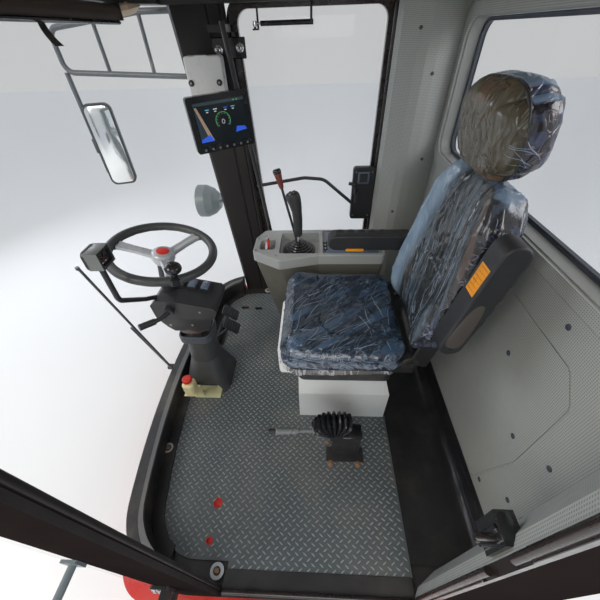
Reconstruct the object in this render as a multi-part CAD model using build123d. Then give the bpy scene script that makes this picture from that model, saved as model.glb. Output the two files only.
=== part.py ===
"""Operator's cab of a forage harvester, with its seat, controls, doors and mirrors.

Millimetres. +X is the driving direction, +Y the driver's left, +Z up. The origin is the centre of
the four holes in the rubber mounts that the cab stands on, on their lower face.
"""
import math
import os

from build123d import *

# Heights, from the floor up.
mount_height = 62
frame_depth = 118
pan_thickness = 12
mat_thickness = 8
door_head = 1495  # from the mat to the underside of the top rail
rail_height = 60
roof_height = 190

# Plan of the cab, at the outer face of the kerb and the rails.
half_width = 826
front_reach = 740
top_reach = 850  # at the top rail, where the windscreen has leant forwards
rear_reach = 660
front_radius = 3400
corner_radius = 280
rear_corner = 70

# Rubber mounts under the base frame.
mount_pitch_x = 940
mount_pitch_y = 1180
mount_hole_r = 8.5
mount_radius = 48
mount_plate = 120

# Base frame, floor and kerb.
frame_margin = 25
frame_corner = 110
frame_web = 60
kerb_width = 58
kerb_height = 100
kerb_flange = 46
flange_thickness = 7
mat_rear = -340
rear_mat_thickness = 5
rear_mat_rise = 120
sill_width = 70
mat_holes = ((378, 560, 18), (381, 680, 13))  # x, y, radius
cable_slots = ((468, -585), (376, -578))  # x, y
slot_length = 46
slot_width = 24

# Glass.
glass_thickness = 6
screen_lap = 30  # below the kerb's upper edge and above the rail's lower edge
screen_edge = (484, 603)  # the pane's rear edge, at the floor and at the top rail
glass_lap = 20
door_glass_thickness = 5

# Front pillars.
pillar_front = (492, 620)  # at the floor and at the top rail
pillar_rear = (307, 381)
pillar_depth = 28
pillar_rebate = 12
seal_bead = 9
seal_inset = 19  # the bead's middle, from the cab's side

# Rear corner, rear wall and rear window.
jamb_x = -335
wall_thickness = 35
skin_thickness = 15
jamb_lip = 14
trim_thickness = 25
nose_x = -460
nose_inset = 104  # these three from the cab's side
jamb_nose_inset = 48
reveal_inset = 84
window_sill = 945  # from the mat
window_head = 1428
window_inset = 121
window_corner = 70
surround_width = 42
surround_rise = 9
groove_width = 6
groove_depth = 3
groove_outline = ((200, 795), (470, 790), (532, 720), (536, 420), (470, 120), (200, 100))  # y, z

# Top rail, roof and blind.
rail_width = 55
header_width = 95
liner_thickness = 14
roof_overhang = 70
roof_lip = 70
roof_taper = 14
blind_radius = 24
blind_back = 122  # from the windscreen at the top rail
blind_half = 560

# Doors. Each turns on pins outside the front pillar.
hinge_x = 400
hinge_out = 42  # from the cab's side
door_gap = 5
door_depth = 30
door_front = (312, 384)  # at its foot and at its head
door_rear = -345
door_bar = 42
door_bottom = -12  # from the mat
door_top = 1520
door_corner = 75
door_open_deg = 90
hinge_heights = (190, 1352)  # from the mat
hinge_pin_r = 6
hinge_knuckle_r = 13
hinge_knuckle = 44
pin_clearance = 0.05
seat_gap = 0.3

# Door stays: a gas strut at the head of each door.
strut_z = 1430
strut_anchor = (20, 24)  # x, and how far inside the cab's side
strut_eye = (260, 10)  # the same, with the door closed
strut_tube_r = 9
strut_rod_r = 4
strut_tube_length = 215
strut_rod_length = 200
strut_eye_r = 9
strut_stud_r = 5
strut_socket = 12  # how deep the rail's stud enters its eye
strut_shelf = 6
strut_boss = 6

# Grips and locks on the doors.
grip_radius = 9
lock_height = 690
lock_size = (120, 30, 300)

# Mirrors, work lamps and wiper.
mirror_out = 79  # from the cab's side
mirror_tube_r = 12
mirror_width = 140
mirror_height = 410
mirror_depth = 46
mirror_x = 1146
mirror_tube_x = 1230
mirror_bottom = 740
mirror_turn = 71
mirror_root_x = 540
mirror_low = (1244, 1278)  # heights of the loop's lower run, at the pillar and far out
mirror_high = (1486, 1440)
mirror_braces = (790, 1010)
lamp_radius = 98
lamp_depth = 132
lamp_place = (602, 116, 600)  # x, out from the cab's side, height over the mat

# Steering column and wheel.
column_x = 545
column_y = -50
column_neck = 345
column_tilt = 11
collar_height = 28
foot_size = (236, 270)
foot_ahead = 12  # of the neck
foot_arch_r = 92
neck_size = (104, 96)
head_half = 84
wheel_radius = 200
wheel_rim_r = 15
wheel_height = 787
wheel_x = 578
wheel_spokes = (0, 120, 240)
hub_low = -46  # the underside of the hub, from the rim's own plane
knob_deg = 122
tongue_r = 26
tongue_half = 22
ear_width = 12
tilt_pin_r = 8
rocker_step = (52, 11.8)  # x and z, from one switch to the next
stalk_root = (590, 560)  # x, and height over the mat
box_size = (42, 62, 54)
box_centre = (644, 177, 910)
pedal_size = (74, 100)
pedal_axle = (578, 34)  # x, and height over the mat
pedals_at = ((500, -375, 150), (480, -288, 128))

# Console beside the seat.
console_top = 604
console_rim = 52
console_wall = 16
tray_depth = 38
console_plan = ((-338, -305), (-20, -303), (166, -256), (302, -338), (302, -470), (262, -548), (-338, -560))
console_foot = ((-338, -400), (150, -400), (196, -430), (196, -560), (160, -590), (-338, -590))
tray_x = (196, 272)
gate_x = (-24, 172)
gate_y = (-512, -318)
gate_centre = (78, -405)
gate_r = 80
gear_top = (156, -478, 876)  # the tall lever's top, its height over the mat
lever_r = 6.5

# Seat.
seat_base_front = 66
seat_base_rear = -332
seat_base_half = 180
seat_base_height = 290
bellows_height = 100
bellows_folds = 3
cushion_front = 125
cushion_rear = -330
cushion_half = 250
cushion_top = 548
cushion_thickness = 96
back_height = 570
back_thickness = 96
back_lean = 10.5
back_hinge = (-352, 478)  # x, z
ear_face = 214  # the recliner ears' outer face, from the middle
recline_pin_r = 9
head_width = 298
head_height = 225
head_thickness = 138
head_back = 46  # the pad's middle behind the backrest's face
head_gap = 58  # over the backrest's nominal height
head_tip = 10  # how much further it leans forwards, in degrees
post_gauge = 60
post_r = 7
post_span = (30, 96)  # over the backrest's nominal height
arm_length = 345
arm_width = 62
arm_height = 72
arm_inner = 262
arm_hinge = (-405, 690)  # x, z
arm_pin_r = 10
arm_block = (84, 44, 16)
arm_block_at = 184  # from the pin

# Display on its pole.
pole_radius = 11
pole_top = (375, -700, 1440)
pole_foot = (261, -700, 505)
display_width = 262
display_height = 208
display_depth = 32
display_centre = (400, -540, 1120)
display_turn = 30
display_roll = 2.6
relay_box = (400, 560, 56, 1170, 1335)  # x0, x1, depth, z0, z1
relay_stand = 50  # off the pillar

# Parking brake.
brake_y = 357
brake_x = (-203, -71)
brake_rise = 202
gaiter_r = 96
gaiter_width = 78
gaiter_ribs = 8
brake_tip = (167, 404, 296)

floor_z = mount_height + frame_depth + pan_thickness + mat_thickness
pan_z = floor_z - mat_thickness
rail_z = floor_z + door_head
roof_z = rail_z + rail_height
nose_y = half_width - nose_inset
jamb_nose_y = half_width - jamb_nose_inset
reveal_y = half_width - reveal_inset
window_half = half_width - window_inset
blind_x = top_reach - blind_back
hinge_y = half_width + hinge_out
lock_face = half_width + door_gap - lock_size[1]  # the lock case's inner face, from the middle
mirror_plane = half_width + mirror_out


def box(x0, x1, y0, y1, z0, z1):
    """A block between two corners, given side by side."""
    return Pos((x0 + x1) / 2, (y0 + y1) / 2, (z0 + z1) / 2) * Box(x1 - x0, y1 - y0, z1 - z0)


def rod(start, end, radius):
    """A round bar between two points."""
    path = Vector(*end) - Vector(*start)
    foot = Plane(origin=start, z_dir=path)
    return extrude(foot * Circle(radius), path.length)


def face_up(points):
    """A flat face from points in a plane, with its normal on the plane's own side."""
    area = sum(a[0] * b[1] - b[0] * a[1] for a, b in zip(points, points[1:] + points[:1]))
    return Polygon(*(points if area > 0 else points[::-1]), align=None)


def prism(points, low, high):
    """An upright block whose plan is the closed outline of the points."""
    return Pos(0, 0, low) * extrude(face_up(points), high - low)


def plate(points, y0, y1):
    """A plate between two values of y. The points are x and z."""
    side = Plane(origin=(0, y1, 0), x_dir=(1, 0, 0), z_dir=(0, -1, 0))
    return extrude(side * face_up(points), y1 - y0)


def tube(points, bends, radius):
    """A bent round tube along straight runs joined by arcs."""
    path = FilletPolyline(*points, radius=bends)
    return sweep(Plane(origin=path @ 0, z_dir=path % 0) * Circle(radius), path)


def rounded_slab(x0, x1, y0, y1, z0, z1, corner, edge):
    """A pad: a block with rounded upright corners and eased faces."""
    slab = box(x0, x1, y0, y1, z0, z1)
    slab = fillet(slab.edges().filter_by(Axis.Z), corner)
    return fillet(slab.faces().sort_by(Axis.Z)[-1].edges(), edge)


def mirrored(shape):
    """The same piece on the other side of the cab."""
    return mirror(shape, about=Plane.XZ)


def both(shape):
    return [shape, mirrored(shape)]


def save(node, *shapes):
    """One STEP file for a node, of one solid or of several that don't touch."""
    solids = []
    for shape in shapes:
        solids += shape.solids()
    export_step(solids[0] if len(solids) == 1 else Compound(solids), f"parts/{node}.step")


def plan(inset, corner=corner_radius, margin=0, reach=front_reach):
    """The cab's plan, drawn in by an inset: an arched front, round corners and a square tail."""
    half = half_width + margin - inset
    radius = front_radius + margin - inset
    centre = reach - front_radius
    edge = centre + math.sqrt(radius**2 - half**2)
    tail = -(rear_reach + margin) + inset
    front = ThreePointArc((edge, -half), (centre + radius, 0), (edge, half))
    sides = Polyline((edge, half), (tail, half), (tail, -half), (edge, -half))
    face = make_face([*front.edges(), *sides.edges()])
    points = face.vertices().sort_by(Axis.X)
    face = fillet(points[-2:], corner + margin - inset)
    points = face.vertices().sort_by(Axis.X)
    return fillet(points[:2], max(rear_corner + margin - inset, 10))


def slab(inset, low, high, corner=corner_radius, margin=0, reach=front_reach):
    """The cab's plan raised between two heights."""
    return Pos(0, 0, low) * extrude(plan(inset, corner, margin, reach), high - low)


def between(pair, z):
    """A place that runs from one value at the floor pan to another at the top rail."""
    return pair[0] + (pair[1] - pair[0]) * (z - pan_z) / (rail_z - pan_z)


def reach_at(z):
    """How far forward the windscreen's inner face stands at a height."""
    low = floor_z + kerb_height - screen_lap
    return front_reach + (top_reach - front_reach) * (z - low) / (rail_z - low)


def hull(low, high, margin=0):
    """The cab's body between two heights, leaning forwards with the windscreen."""
    return loft(
        [Pos(0, 0, z) * plan(0, margin=margin, reach=reach_at(z)) for z in (low, high)],
        ruled=True,
    )


def ring(outer, inner, low, high, reach=front_reach):
    """A band that follows the cab's plan."""
    return slab(outer, low, high, reach=reach) - slab(inner, low - 1, high + 1, reach=reach)


def ahead_of(x):
    """Space in front of a place on the X axis."""
    return box(x, x + 3000, -2000, 2000, -500, 3000)


# Base: mounts, frame, pan, mats and kerb.
def rubber_mounts():
    """Two steel plates with a waisted rubber block between them, bored for the bolt."""
    half = mount_plate / 2
    mounts = []
    for x in (-mount_pitch_x / 2, mount_pitch_x / 2):
        for y in (-mount_pitch_y / 2, mount_pitch_y / 2):
            foot = box(-half, half, -half, half, 0, 8)
            foot = fillet(foot.edges().filter_by(Axis.Z), 16)
            waist = mount_radius - 8
            side = Polyline((0, 8), (mount_radius, 8), (waist, mount_height / 2))
            side += Polyline((waist, mount_height / 2), (mount_radius, mount_height), (0, mount_height))
            side += Line((0, mount_height), (0, 8))
            body = revolve(Plane.XZ * make_face(side.edges()), Axis.Z)
            hole = Pos(0, 0, mount_height / 2) * Cylinder(mount_hole_r, mount_height + 2)
            mounts.append(Pos(x, y, 0) * (foot + body - hole))
    return mounts


def base_frame():
    """A welded ring of box section under the floor, with cross members over the mounts."""
    low, high = mount_height, mount_height + frame_depth
    outer = slab(0, low, high, frame_corner, frame_margin)
    inner = slab(frame_web, low - 1, high + 1, frame_corner + frame_web, 0)
    frame = outer - inner
    reach = half_width - 20
    for x in (-mount_pitch_x / 2, mount_pitch_x / 2):
        frame += box(x - frame_web, x + frame_web, -reach, reach, low, high)
    for y in (-mount_pitch_y / 2, mount_pitch_y / 2):
        frame += box(-mount_pitch_x / 2, mount_pitch_x / 2, y - 25, y + 25, low + 20, high)
    return frame


def slots(low, high):
    cuts = []
    for x, y in cable_slots:
        cuts.append(Pos(x, y, (low + high) / 2) * Box(slot_length, slot_width, high - low))
    return cuts


def floor_pan():
    return slab(0, pan_z - pan_thickness, pan_z) - slots(pan_z - 40, pan_z + 10)


def floor_mat():
    """The tread mat inside the kerb's flange, between the doors and up to the rear mat."""
    inset = kerb_width + kerb_flange - 12
    front = slab(inset, pan_z, floor_z, corner_radius)
    side = half_width - sill_width
    middle = box(mat_rear, pillar_rear[0] - 10, -side, side, pan_z, floor_z)
    mat = (front & ahead_of(mat_rear)) + middle
    for x, y, radius in mat_holes:
        mat -= Pos(x, y, pan_z) * Cylinder(radius, 60)
    return mat - slots(pan_z - 10, floor_z + 10)


def rear_mat():
    """A smooth rubber sheet behind the tread mat that turns up against the rear wall."""
    wall = -rear_reach + wall_thickness + trim_thickness
    t = rear_mat_thickness
    bend = 60
    outer = Polyline((mat_rear, pan_z), (mat_rear, pan_z + t), (wall + bend, pan_z + t))
    outer += ThreePointArc(
        (wall + bend, pan_z + t),
        (wall + t + (bend - t) * (1 - math.sqrt(0.5)), pan_z + t + (bend - t) * (1 - math.sqrt(0.5))),
        (wall + t, pan_z + bend),
    )
    top = pan_z + rear_mat_rise
    outer += Polyline((wall + t, pan_z + bend), (wall + t, top), (wall, top))
    outer += Polyline((wall, top), (wall, pan_z + bend))
    outer += ThreePointArc(
        (wall, pan_z + bend),
        (wall + bend * (1 - math.sqrt(0.5)), pan_z + bend * (1 - math.sqrt(0.5))),
        (wall + bend, pan_z),
    )
    outer += Line((wall + bend, pan_z), (mat_rear, pan_z))
    side = Plane(origin=(0, nose_y, 0), x_dir=(1, 0, 0), z_dir=(0, -1, 0))
    return extrude(side * make_face(outer.edges()), 2 * nose_y, dir=(0, -1, 0))


def kerb():
    """The raised edge under the windscreen, with the flange that holds the mat down."""
    wall = ring(0, kerb_width, pan_z, floor_z + kerb_height)
    edges = wall.faces().sort_by(Axis.Z)[-1].edges()
    wall = fillet(edges, 6)
    flange = ring(kerb_width - 2, kerb_width + kerb_flange, floor_z, floor_z + flange_thickness)
    foot = ring(kerb_width - 2, kerb_width + kerb_flange - 13, pan_z, floor_z)
    return (wall + flange + foot) & ahead_of(between(pillar_front, floor_z + kerb_height) + seat_gap)


def door_sills():
    """A threshold under each door, between the pillars."""
    low, high = pan_z, floor_z + 4
    front = pillar_rear[0] - 5
    return both(box(jamb_x, front, half_width - sill_width + 1, half_width, low, high))


# Glass, pillars and the rear corner.
def windscreen():
    """One bent pane round the front, from one front pillar to the other."""
    low = floor_z + kerb_height - screen_lap
    high = rail_z + screen_lap
    pane = hull(low, high, glass_thickness + seat_gap) - hull(low - 1, high + 1, seat_gap)
    edge = [(between(screen_edge, z), z) for z in (0, high + 10)]
    front = plate([edge[0], edge[1], (3000, high + 10), (3000, 0)], -2000, 2000)
    return pane & front


def pillar_section(z):
    """The left front pillar's section at a height, with its door rebate and cover rib."""
    rear, front = between(pillar_rear, z), between(pillar_front, z)
    inner = half_width - pillar_depth
    points = [
        (rear, half_width),
        (rear, half_width - pillar_rebate),
        (rear + 12, half_width - pillar_rebate),
        (rear + 12, inner + 8),
        (rear + 22, inner),
        (rear + 62, inner),
        (rear + 66, inner + 5),
        (rear + 74, inner + 5),
        (rear + 78, inner),
        (front - 14, inner),
        (front, inner + 10),
        (front, half_width),
    ]
    return Pos(0, 0, z) * face_up(points)


def front_pillar():
    """The left front pillar, which leans forwards, with the bead that the door shuts on."""
    post = loft([pillar_section(pan_z), pillar_section(rail_z)], ruled=True)
    foot = floor_z + kerb_height - screen_lap
    post = (post & slab(0, pan_z, foot)) + (post & hull(foot, rail_z))
    ends = []
    for z in (pan_z, rail_z):
        ends.append(Pos(between(pillar_rear, z) + 8, half_width - seal_inset, z) * Circle(seal_bead))
    return post + loft(ends, ruled=True)


def rear_shell():
    """The painted skin round the back, from one door to the other, with the rear window cut."""
    low, high = pan_z, rail_z
    skin = half_width - skin_thickness
    inner = box(-rear_reach + wall_thickness, 0, -skin, skin, low - 1, high + 1)
    shell = slab(0, low, high) - inner - ahead_of(jamb_x - jamb_lip)
    return shell - window_cut(-rear_reach - 10, -rear_reach + wall_thickness + 1, 0)


def window_cut(x0, x1, inset):
    """The rear window's opening, with cut lower corners, as a solid to take away."""
    half = window_half - inset
    low = floor_z + window_sill + inset
    high = floor_z + window_head - inset
    cut = box(x0, x1, -half, half, low, high)
    return fillet(cut.edges().filter_by(Axis.X), window_corner)


def rear_trim():
    """The moulded lining of the rear wall: window surround, edge groove and clips."""
    front = -rear_reach + wall_thickness + trim_thickness
    back = front - trim_thickness
    side = reveal_y
    panel = box(back, front, -side, side, pan_z, rail_z)
    rim = window_cut(back, front + surround_rise, -surround_width)
    rim = rim & box(back, front + surround_rise, -side + 1, side - 1, pan_z, rail_z)
    rim = fillet(rim.faces().sort_by(Axis.X)[-1].edges(), 6)
    panel = panel + rim - window_cut(back - 1, front + surround_rise + 1, 0)
    across = Plane(origin=(front - groove_depth, 0, floor_z), x_dir=(0, 1, 0), z_dir=(1, 0, 0))
    outline = FilletPolyline(*groove_outline, radius=30)
    band = offset(outline, groove_width / 2, kind=Kind.ARC)
    groove = extrude(across * make_face(band.edges()), groove_depth + 1, dir=(1, 0, 0))
    return panel - groove - mirrored(groove)


def rear_quarter():
    """The lining of a rear corner post, from the door jamb round to the window reveal."""
    skin = half_width - skin_thickness
    wall = -rear_reach + wall_thickness
    section = [
        (jamb_x - jamb_lip, skin),
        (jamb_x - jamb_lip, half_width),
        (jamb_x, half_width),
        (jamb_x, skin - 6),
        (jamb_x - 18, jamb_nose_y),
        (nose_x + 40, nose_y + 12),
        (nose_x, nose_y),
        (nose_x - 44, nose_y + 2),
        (wall + trim_thickness, reveal_y),
        (wall, reveal_y),
        (wall, skin),
    ]
    post = prism(section, pan_z, rail_z)
    upright = post.edges().filter_by(Axis.Z)
    nose = [e for e in upright if abs(e.center().X - nose_x) < 50 and e.center().Y < nose_y + 14]
    return fillet(nose, 24)


def striker():
    """The plate and pin on the left rear jamb that the door's lock closes on."""
    z = floor_z + lock_height
    face = lock_face - door_gap
    backing = box(jamb_x - 30, jamb_x + 6, reveal_y, face, z - 45, z + 45)
    pin = rod((jamb_x + 5, face - 10, z + 8), (jamb_x + 34, face - 10, z + 8), 6)
    return backing + pin


def rear_glass():
    """The pane bonded on the outside of the rear opening."""
    return window_cut(-rear_reach - glass_thickness, -rear_reach, -glass_lap)


# Top rail, roof, lining and blind.
def top_rail():
    """The closed ring over pillars and doors, deeper across the windscreen, with its stay studs."""
    rail = ring(0, rail_width, rail_z, roof_z, top_reach)
    header = ring(0, header_width, rail_z, roof_z, top_reach) & ahead_of(pillar_front[1])
    x, y = strut_anchor[0], half_width - strut_anchor[1]
    low = floor_z + strut_z + strut_tube_r - strut_socket + 1
    stud = rod((x, y, low), (x, y, rail_z), strut_stud_r)
    return rail + header + both(stud)


def headliner():
    liner = slab(rail_width, roof_z - liner_thickness, roof_z, reach=top_reach)
    front = ring(rail_width - 1, header_width, rail_z - 1, roof_z + 1, top_reach)
    return liner - (front & ahead_of(pillar_front[1]))


def roof():
    """A moulded roof with a lip below the rail and a crowned top."""
    outline = plan(0, margin=roof_overhang, reach=top_reach)
    base = Pos(0, 0, roof_z) * extrude(outline, roof_height, taper=roof_taper)
    base = fillet(base.faces().sort_by(Axis.Z)[-1].edges(), 60)
    low = roof_z - roof_lip / 2
    lip = slab(0, low, roof_z, margin=roof_overhang, reach=top_reach)
    lip -= slab(0, low - 1, roof_z + 1, margin=roof_overhang - 18, reach=top_reach)
    top = roof_z + roof_height
    channel = box(-rear_reach * 0.6, front_reach * 0.5, -90, 90, top - 12, top + 40)
    channel = fillet(channel.edges().filter_by(Axis.Z), 60)
    return base + lip - channel


def roller_blind():
    """The rolled sun blind under the header, on its two end brackets."""
    z = rail_z - blind_radius - 4
    blind = rod((blind_x, -blind_half, z), (blind_x, blind_half, z), blind_radius)
    brackets = []
    for sign in (-1, 1):
        y0, y1 = sorted((sign * blind_half, sign * (blind_half + 6)))
        brackets.append(box(blind_x - 26, blind_x + 26, y0, y1, z - 20, rail_z))
    return [blind + brackets]


# Doors, built closed on the right side with the hinge line at hinge_x, -hinge_y.
def door_front_at(z):
    """The door's front edge at a height, along the leaning pillar."""
    low, high = floor_z + door_bottom, floor_z + door_top
    return door_front[0] + (door_front[1] - door_front[0]) * (z - low) / (high - low)


def door_outline(inset):
    """The door's outline, x and z, as a face drawn in by an inset."""
    z0, z1 = floor_z + door_bottom + inset, floor_z + door_top - inset
    x0 = door_rear + inset
    corners = [(x0, z0), (door_front_at(z0) - inset, z0), (door_front_at(z1) - inset, z1), (x0, z1)]
    face = Polygon(*corners, align=None)
    return fillet(face.vertices(), door_corner - inset * 0.6)


def door_plate(inset, inner, outer):
    """The outline as a plate between two distances from the cab's centre line, right side."""
    side = Plane(origin=(0, -inner, 0), x_dir=(1, 0, 0), z_dir=(0, -1, 0))
    return extrude(side * door_outline(inset), outer - inner)


def door_frame():
    """A welded frame, with the knuckles of its two hinges and the seat of its stay's rod."""
    inner = half_width + door_gap
    outer = inner + door_depth
    frame = door_plate(0, inner, outer) - door_plate(door_bar, inner - 1, outer + 1)
    for height in hinge_heights:
        z = floor_z + height
        low, high = z - hinge_knuckle / 2 + 0.5, z + hinge_knuckle / 2 - 0.5
        arm = box(door_front_at(z) - 30, hinge_x, -hinge_y - 4, -outer + 1, low, high)
        barrel = Pos(hinge_x, -hinge_y, z) * Cylinder(hinge_knuckle_r, high - low)
        bore = Pos(hinge_x, -hinge_y, z) * Cylinder(hinge_pin_r + pin_clearance, 200)
        frame = frame + (arm + barrel) - bore
    x, y = strut_eye[0], half_width - strut_eye[1]
    under = floor_z + strut_z - strut_tube_r - seat_gap
    seat = under - strut_boss
    bracket = box(x - 16, x + 10, -inner, -y + 10, seat - strut_shelf, seat)
    web = box(x - 16, x - 8, -inner - 1, -half_width, seat - strut_shelf, floor_z + door_top - door_bar + 4)
    stud = rod((x, -y, seat - 1), (x, -y, seat + strut_boss), strut_stud_r)
    return frame + bracket + web + stud


def door_glass():
    """The pane bonded on the outside of the frame."""
    outer = half_width + door_gap + door_depth
    pane = door_plate(8, outer, outer + door_glass_thickness)
    for height in hinge_heights:
        z = floor_z + height
        pane -= box(door_front_at(z) - 34, hinge_x, -outer - 20, -outer + 1, z - 34, z + 34)
    return pane


def door_fittings():
    """The lock case with its release, and the bent grip across the pane."""
    inner = half_width + door_gap
    sx, sy, sz = lock_size
    z = floor_z + lock_height
    x0 = jamb_x + door_gap
    case = box(x0, x0 + sx, -inner, -inner + sy, z - sz / 2, z + sz / 2)
    case = fillet(case.edges().filter_by(Axis.Y), 18)
    case = fillet(case.faces().sort_by(Axis.Y)[-1].edges(), 4)
    x1 = x0 + sx
    y = -inner + sy
    knob = rod((x1 - 12, y - 1, z + 62), (x1 - 12, y + 16, z + 62), 6)
    knob += rod((x1 - 12, y + 14, z + 62), (x1 + 22, y + 14, z + 70), 9)
    y = -inner + 22
    front = (door_front_at(floor_z + 744) - door_bar + 20, y, floor_z + 744)
    root = rod((front[0], -inner, front[2]), front, grip_radius)
    path = (front, (60, y, floor_z + 786), (-50, y, floor_z + 776), (x1 - 2, y, floor_z + 640))
    return case + knob + root + tube(path, 90, grip_radius)


def hinge_leaves():
    """The fixed half of a door's hinges: a plate on the pillar, two knuckles and the pin."""
    leaves = []
    gap = hinge_knuckle / 2
    for height in hinge_heights:
        z = floor_z + height
        pad = box(hinge_x + 4, hinge_x + 62, -half_width - 8, -half_width, z - 46, z + 46)
        leaf = fillet(pad.edges().filter_by(Axis.Y), 12)
        for low, high in ((z + gap, z + gap + 20), (z - gap - 20, z - gap)):
            arm = box(hinge_x, hinge_x + 26, -hinge_y - 4, -half_width - 4, low, high)
            barrel = Pos(hinge_x, -hinge_y, (low + high) / 2) * Cylinder(hinge_knuckle_r, high - low)
            leaf = leaf + arm + barrel
        leaf += Pos(hinge_x, -hinge_y, z) * Cylinder(hinge_pin_r, hinge_knuckle + 38)
        leaves.append(leaf)
    return leaves


def opened(shape):
    """A left door piece, from its closed place on the right to its open place on the left."""
    turn = Pos(hinge_x, hinge_y, 0) * Rot(0, 0, -door_open_deg) * Pos(-hinge_x, -hinge_y, 0)
    return turn * mirrored(shape)


def stay_eye(open_deg, sign):
    """Where a door's stay stud stands, for a door opened by an angle. Sign is the side."""
    dx, dy = strut_eye[0] - hinge_x, half_width - strut_eye[1] - hinge_y
    a = -math.radians(open_deg)
    x = hinge_x + dx * math.cos(a) - dy * math.sin(a)
    y = hinge_y + dx * math.sin(a) + dy * math.cos(a)
    return x, sign * y


def stay(open_deg, sign):
    """A gas strut between the rail's stud and the door's: its tube and its rod."""
    ax, ay = strut_anchor[0], sign * (half_width - strut_anchor[1])
    bx, by = stay_eye(open_deg, sign)
    length = math.hypot(bx - ax, by - ay)
    place = Pos(ax, ay, floor_z + strut_z) * Rot(0, 0, math.degrees(math.atan2(by - ay, bx - ax)))
    socket_r = strut_stud_r + 0.8
    eye = Cylinder(strut_eye_r, 2 * strut_tube_r)
    upper = Pos(0, 0, strut_tube_r - strut_socket) * Cylinder(
        socket_r, strut_socket + 1, align=(Align.CENTER, Align.CENTER, Align.MIN)
    )
    case = rod((0, 0, 0), (strut_tube_length, 0, 0), strut_tube_r) + eye
    case = case - rod((18, 0, 0), (strut_tube_length + 5, 0, 0), strut_rod_r + 0.4) - upper
    shaft = rod((length - strut_rod_length, 0, 0), (length, 0, 0), strut_rod_r)
    shaft = shaft + Pos(length, 0, 0) * eye
    return place * case, place * shaft


# Outside fittings.
def mirror_frames():
    """A bent tube loop ahead of each front pillar, with two braces, that carries a mirror."""
    y = mirror_plane
    z = floor_z
    root_x, root_y = mirror_root_x, half_width + seat_gap
    far = mirror_tube_x
    low, low_far = z + mirror_low[0], z + mirror_low[1]
    top, top_far = z + mirror_high[0], z + mirror_high[1]
    shoulder = root_x + 250
    loop = tube(
        ((root_x, root_y, low), (root_x, y, low), (far, y, low_far), (far, y, top_far),
         (shoulder, y, top), (root_x, y, top), (root_x, root_y, top)),
        45,
        mirror_tube_r,
    )
    frame = loop + rod((far, y, low_far), (far, y, z + mirror_bottom + 60), mirror_tube_r)
    for x in mirror_braces:
        foot = low + (low_far - low) * (x - root_x) / (far - root_x)
        head = top - (top - top_far) * max(0, x - shoulder) / (far - shoulder)
        frame += rod((x, y, foot), (x, y, head), mirror_tube_r - 3)
    return both(frame)


def mirror_heads():
    """A flat case with round corners, clamped on the drop tube and turned to the driver."""
    z = floor_z + mirror_bottom + mirror_height / 2
    case = Box(mirror_depth, mirror_width, mirror_height)
    case = fillet(case.edges().filter_by(Axis.X), 34)
    case = fillet(case.faces().sort_by(Axis.X)[-1].edges(), 16)
    case = Pos(mirror_x, mirror_plane - 8, z) * Rot(0, 0, mirror_turn) * case
    x, y = mirror_tube_x, mirror_plane
    clamp = rod((x, y, z - 35), (x, y, z + 35), mirror_tube_r + 7)
    strap = rod((x - 50, y - 4, z), (x - 10, y - 2, z), 14)
    bore = rod((x, y, z - 300), (x, y, z + 300), mirror_tube_r + seat_gap)
    return both(case + clamp + strap - bore)


def work_lamps():
    """A round lamp outside each front pillar, on a bent stirrup."""
    x, out, height = lamp_place
    y, z = half_width + out, floor_z + height
    outline = Polyline((0, 0), (lamp_radius * 0.45, 0), (lamp_radius * 0.8, lamp_depth * 0.28),
                       (lamp_radius, lamp_depth * 0.62), (lamp_radius, lamp_depth), (0, lamp_depth), (0, 0))
    body = revolve(Plane.XZ * make_face(outline.edges()), Axis.Z)
    lamp = Pos(x, y, z) * Rot(0, 90, 0) * body
    root = half_width + seat_gap
    pad = box(470, 502, root, root + 6, z - 22, z + 22)
    stirrup = tube(((486, root + 2, z), (486, y, z), (x + 8, y, z)), 22, 8)
    return both(lamp + pad + stirrup)


def wiper():
    """A long blade on its arm, parked upright outside the windscreen."""
    def outside(off, y, height):
        z = floor_z + height
        return (reach_at(z) + glass_thickness + seat_gap + off, y, z)

    blade = rod(outside(5.4, -22, 100), outside(5.4, 98, 812), 5)
    arm = rod(outside(18, -34, 78), outside(16, 40, 455), 5)
    link = rod(outside(18, 40, 452), outside(5, 39, 456), 5)
    pivot = rod(outside(1.7, -34, 78), outside(26, -34, 78), 15)
    tip = rod(outside(8, 97, 806), outside(8, 98, 816), 7)
    return blade + arm + link + pivot + tip


# Steering column, wheel and pedals.
def column_base():
    """The lower shroud: a foot that narrows to a neck with a collar and the two tilt ears."""
    z = floor_z
    neck = z + column_neck
    foot = Pos(column_x + foot_ahead, column_y, z) * RectangleRounded(*foot_size, 70)
    waist = Pos(column_x + 4, column_y, z + 190) * RectangleRounded(138, 132, 50)
    across, along = neck_size
    top = Pos(column_x, column_y, neck - collar_height) * RectangleRounded(across + 20, along + 20, 44)
    ledge = z + flange_thickness + seat_gap
    room = slab(kerb_width + kerb_flange + 2, z - 1, ledge) + slab(kerb_width + 4, ledge, neck)
    shroud = loft([foot, waist, top], ruled=True) & room
    band = Pos(column_x, column_y, neck - collar_height) * extrude(
        RectangleRounded(across + 34, along + 34, 48), collar_height
    )
    arch_x = column_x + foot_ahead
    arch = rod((arch_x, column_y + 74, z - 8), (arch_x, column_y + 200, z - 8), foot_arch_r)
    ears = []
    for sign in (-1, 1):
        y = column_y + sign * (tongue_half + seat_gap + ear_width / 2)
        ear = box(column_x - 22, column_x + 22, y - ear_width / 2, y + ear_width / 2, neck - 2, neck + 44)
        ears.append(ear)
    pin_z = neck + 30
    pin = rod((column_x, column_y - 30, pin_z), (column_x, column_y + 30, pin_z), tilt_pin_r)
    return shroud + band - arch + ears + pin


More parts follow.
